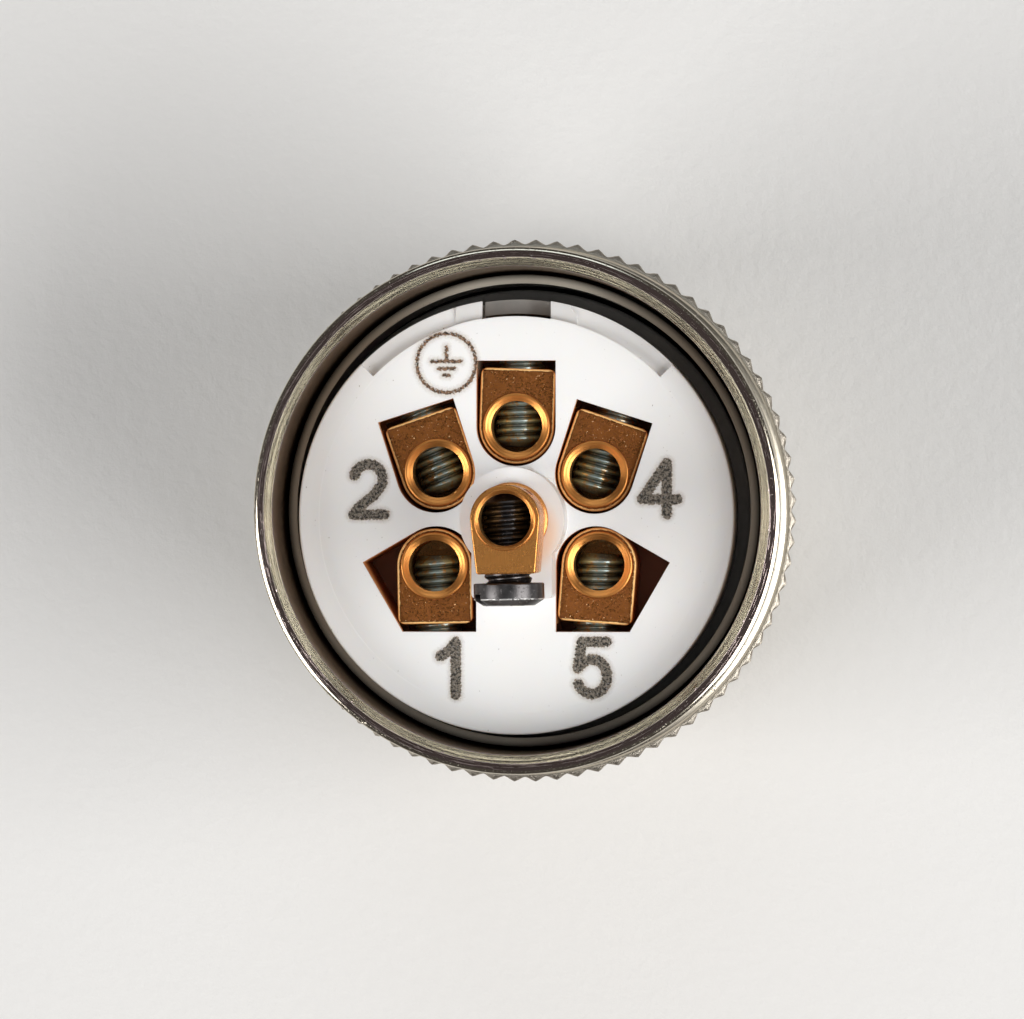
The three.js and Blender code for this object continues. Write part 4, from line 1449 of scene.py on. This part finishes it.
class CONNECTOR_OT_screws(bpy.types.Operator):
    """Model the six clamping screws, each with a wound thread and a slotted head"""

    bl_idname = "connector.screws"
    bl_label = "Clamping screws"

    def execute(self, context):
        s = context.scene.connector_terminals
        for name, (faces, slot_turn) in TERMINALS.items():
            reach = 2.7 * MM if name == "centre" else s.block_reach
            piece = screw_shape("screw_" + name, HEAD_GAPS[name] * MM, reach, slot_turn)
            low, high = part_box("clamp_screw_" + name)
            only(piece)
            piece.rotation_euler = (0, math.pi / 2, 0)
            bpy.ops.object.transform_apply(rotation=True)
            place(piece, *terminal_spot(name), faces, (low.z + high.z) / 2)
            body = "clamp_screw_" + name
            finish = finish_named("dark_steel" if name == "centre" else "zinc_steel")
            dressed(piece, finish, body, "dark_steel", body)
        return {"FINISHED"}


# ------------------------------------------------------------------ marks


def arc_points(x, y, across, up, start, end, steps=14):
    """Points on an oval arc between two angles, in degrees."""
    return [
        (x + across * math.cos(math.radians(start + (end - start) * i / steps)),
         y + up * math.sin(math.radians(start + (end - start) * i / steps)))
        for i in range(steps + 1)
    ]


# Centre lines of the strokes in a cell 1 high; (0, 0) is its middle
STROKES = {
    "1": [[(-0.17, 0.20), (-0.02, 0.30), (0.09, 0.44), (0.09, -0.44)]],
    "2": [arc_points(0.0, 0.18, 0.25, 0.255, 165, -25) + [(0.10, -0.10), (-0.17, -0.32),
          (-0.26, -0.435)], [(-0.26, -0.435), (0.28, -0.435)]],
    "4": [[(0.13, -0.44), (0.13, 0.42), (-0.29, -0.19), (0.31, -0.19)]],
    "5": [[(0.24, 0.43), (-0.17, 0.43), (-0.24, -0.01)]
          + arc_points(0.0, -0.15, 0.255, 0.29, 140, -155)],
    "earth": [arc_points(0.0, 0.0, 0.53, 0.53, 0, 360, 48), [(0.0, 0.29), (0.0, 0.03)],
              [(-0.26, 0.03), (0.26, 0.03)], [(-0.14, -0.10), (0.14, -0.10)],
              [(-0.05, -0.22), (0.05, -0.22)]],
}
# Where each mark stands on the face, from the body's axis, in mm, its height and stroke
MARKS = {
    "2": (-7.76, 1.08, 2.95, 0.5),
    "4": (7.11, 1.15, 3.0, 0.5),
    "1": (-3.55, -8.05, 3.05, 0.5),
    "5": (3.69, -8.0, 3.05, 0.5),
    "earth": (-3.76, 7.53, 2.85, 0.15),
}


def stroke_gaps(corners, lines, half):
    """Distance from each corner to the edge of the nearest stroke, below 0 inside it."""
    nearest = np.full(len(corners), 9.0)
    for line in lines:
        for start, end in zip(np.array(line[:-1]), np.array(line[1:])):
            along = end - start
            share = np.clip(((corners - start) @ along) / (along @ along), 0, 1)
            gap = np.linalg.norm(corners - (start + share[:, None] * along), axis=1)
            nearest = np.minimum(nearest, gap)
    return nearest - half


class CONNECTOR_OT_marks(bpy.types.Operator):
    """Lay the burnt-in numbers and the earth sign on the insert's face"""

    bl_idname = "connector.marks"
    bl_label = "Marks"

    def execute(self, context):
        s = context.scene.connector_insert
        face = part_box("terminal_insert")[0].z + s.face_height
        for name, (x, y, height, stroke) in MARKS.items():
            deselect()
            bpy.ops.mesh.primitive_grid_add(
                x_subdivisions=64, y_subdivisions=80, size=1,
                location=(x * MM, y * MM, face + 0.012 * MM),
            )
            patch = bpy.context.active_object
            patch.scale = (0.9 * height * MM, 1.25 * height * MM, 1)
            if name == "earth":
                patch.scale = (1.3 * height * MM, 1.3 * height * MM, 1)
            patch = named("mark_" + name)
            flat = np.empty(len(patch.data.vertices) * 3)
            patch.data.vertices.foreach_get("co", flat)
            corners = flat.reshape(-1, 3)[:, :2] / MM - (x, y)
            lines = [[(px * height, py * height) for px, py in line] for line in STROKES[name]]
            gaps = stroke_gaps(corners, lines, stroke / 2)
            store = patch.data.attributes.new("stroke_gap", "FLOAT", "POINT")
            store.data.foreach_set("value", gaps.astype(np.float32))
            with editing(patch):
                far = gaps > 0.3
                pick("VERT", lambda v: far[v.index])
                bpy.ops.mesh.delete(type="VERT")
            finish = finish_named("burnt_line" if name == "earth" else "burnt_mark")
            dressed(patch, finish, "connector", "white_plastic")
        return {"FINISHED"}


# ------------------------------------------------------------------ stage


def soft_light(name, around, above, away, size, power, shade):
    """An area light that looks at the object, placed by two angles in degrees and a distance."""
    turn, rise = math.radians(around), math.radians(above)
    way = (math.cos(turn) * math.cos(rise), math.sin(turn) * math.cos(rise), math.sin(rise))
    deselect()
    bpy.ops.object.light_add(
        type="AREA", location=[part * away * MM for part in way],
        rotation=(0, math.pi / 2 - rise, turn),
    )
    light = bpy.context.active_object
    light.name = light.data.name = name
    light.data.shape = "RECTANGLE"
    light.data.size, light.data.size_y = size[1] * MM, size[0] * MM
    light.data.energy, light.data.color = power, shade
    return light


class CONNECTOR_OT_stage(bpy.types.Operator):
    """Set up the paper, the lights and the camera"""

    bl_idname = "connector.stage"
    bl_label = "Stage"

    def execute(self, context):
        s = context.scene.connector_stage
        deselect()
        bpy.ops.mesh.primitive_grid_add(x_subdivisions=8, y_subdivisions=8, size=3.0)
        paper = named("paper_floor")
        paper.data.materials.append(finish_named("paper"))
        soft_light("right_softbox", -17, 42, 570, (450, 390), s.right_light, (1.0, 0.995, 0.985))
        soft_light("left_softbox", 201, 38, 560, (310, 300), s.left_light, (1.0, 0.99, 0.98))
        soft_light("far_softbox", 95, 50, 520, (300, 160), s.far_light, (0.84, 0.93, 1.0))
        soft_light("ceiling", 0, 90, 560, (420, 420), s.ceiling, (0.9, 0.96, 1.0))
        self.surround(context.scene, s.surroundings)
        self.aim_camera(context.scene, s)
        context.scene.view_settings.view_transform = "Standard"
        return {"FINISHED"}

    def surround(self, scene, strength):
        world = scene.world or bpy.data.worlds.new("surroundings")
        scene.world = world
        world.use_nodes = True
        background = world.node_tree.nodes["Background"]
        background.inputs["Color"].default_value = (1.0, 0.92, 0.88, 1.0)
        background.inputs["Strength"].default_value = strength

    def aim_camera(self, scene, s):
        deselect()
        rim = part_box("connector_body")[1].z
        back = (math.sin(s.tilt), 0.0, math.cos(s.tilt))
        aim = (s.aim_x, s.aim_y, rim)
        spot = [a + b * s.distance for a, b in zip(aim, back)]
        bpy.ops.object.camera_add(location=spot, rotation=(0, s.tilt, 0))
        camera = bpy.context.active_object
        camera.name = "camera"
        camera.data.lens, camera.data.sensor_width = s.lens, 36.0
        camera.data.clip_start, camera.data.clip_end = 0.01, 10.0
        scene.camera = camera


# ------------------------------------------------------------------ panel and run


STEPS = (
    CONNECTOR_OT_body, CONNECTOR_OT_nut, CONNECTOR_OT_rings, CONNECTOR_OT_carrier,
    CONNECTOR_OT_insert, CONNECTOR_OT_contacts, CONNECTOR_OT_screws, CONNECTOR_OT_marks,
    CONNECTOR_OT_stage,
)
GROUPS = {
    "connector_shell": ShellSizes,
    "connector_insert": InsertSizes,
    "connector_terminals": TerminalSizes,
    "connector_finishes": Finishes,
    "connector_stage": StageSizes,
}


class CONNECTOR_PT_panel(bpy.types.Panel):
    """Lists the steps and the sizes"""

    bl_label = "Round connector"
    bl_idname = "CONNECTOR_PT_panel"
    bl_space_type = "VIEW_3D"
    bl_region_type = "UI"
    bl_category = "Connector"

    def draw(self, context):
        for step in STEPS:
            self.layout.operator(step.bl_idname)
        for group, kind in GROUPS.items():
            box = self.layout.box()
            for entry in kind.__annotations__:
                box.prop(getattr(context.scene, group), entry)


def register():
    for kind in (*GROUPS.values(), *STEPS, CONNECTOR_PT_panel):
        bpy.utils.register_class(kind)
    for group, kind in GROUPS.items():
        setattr(bpy.types.Scene, group, PointerProperty(type=kind))


def unregister():
    for group in GROUPS:
        delattr(bpy.types.Scene, group)
    for kind in (CONNECTOR_PT_panel, *reversed(STEPS), *reversed(GROUPS.values())):
        bpy.utils.unregister_class(kind)


def main():
    register()
    for step in STEPS:
        group, name = step.bl_idname.split(".")
        getattr(getattr(bpy.ops, group), name)()


if __name__ == "__main__":
    main()
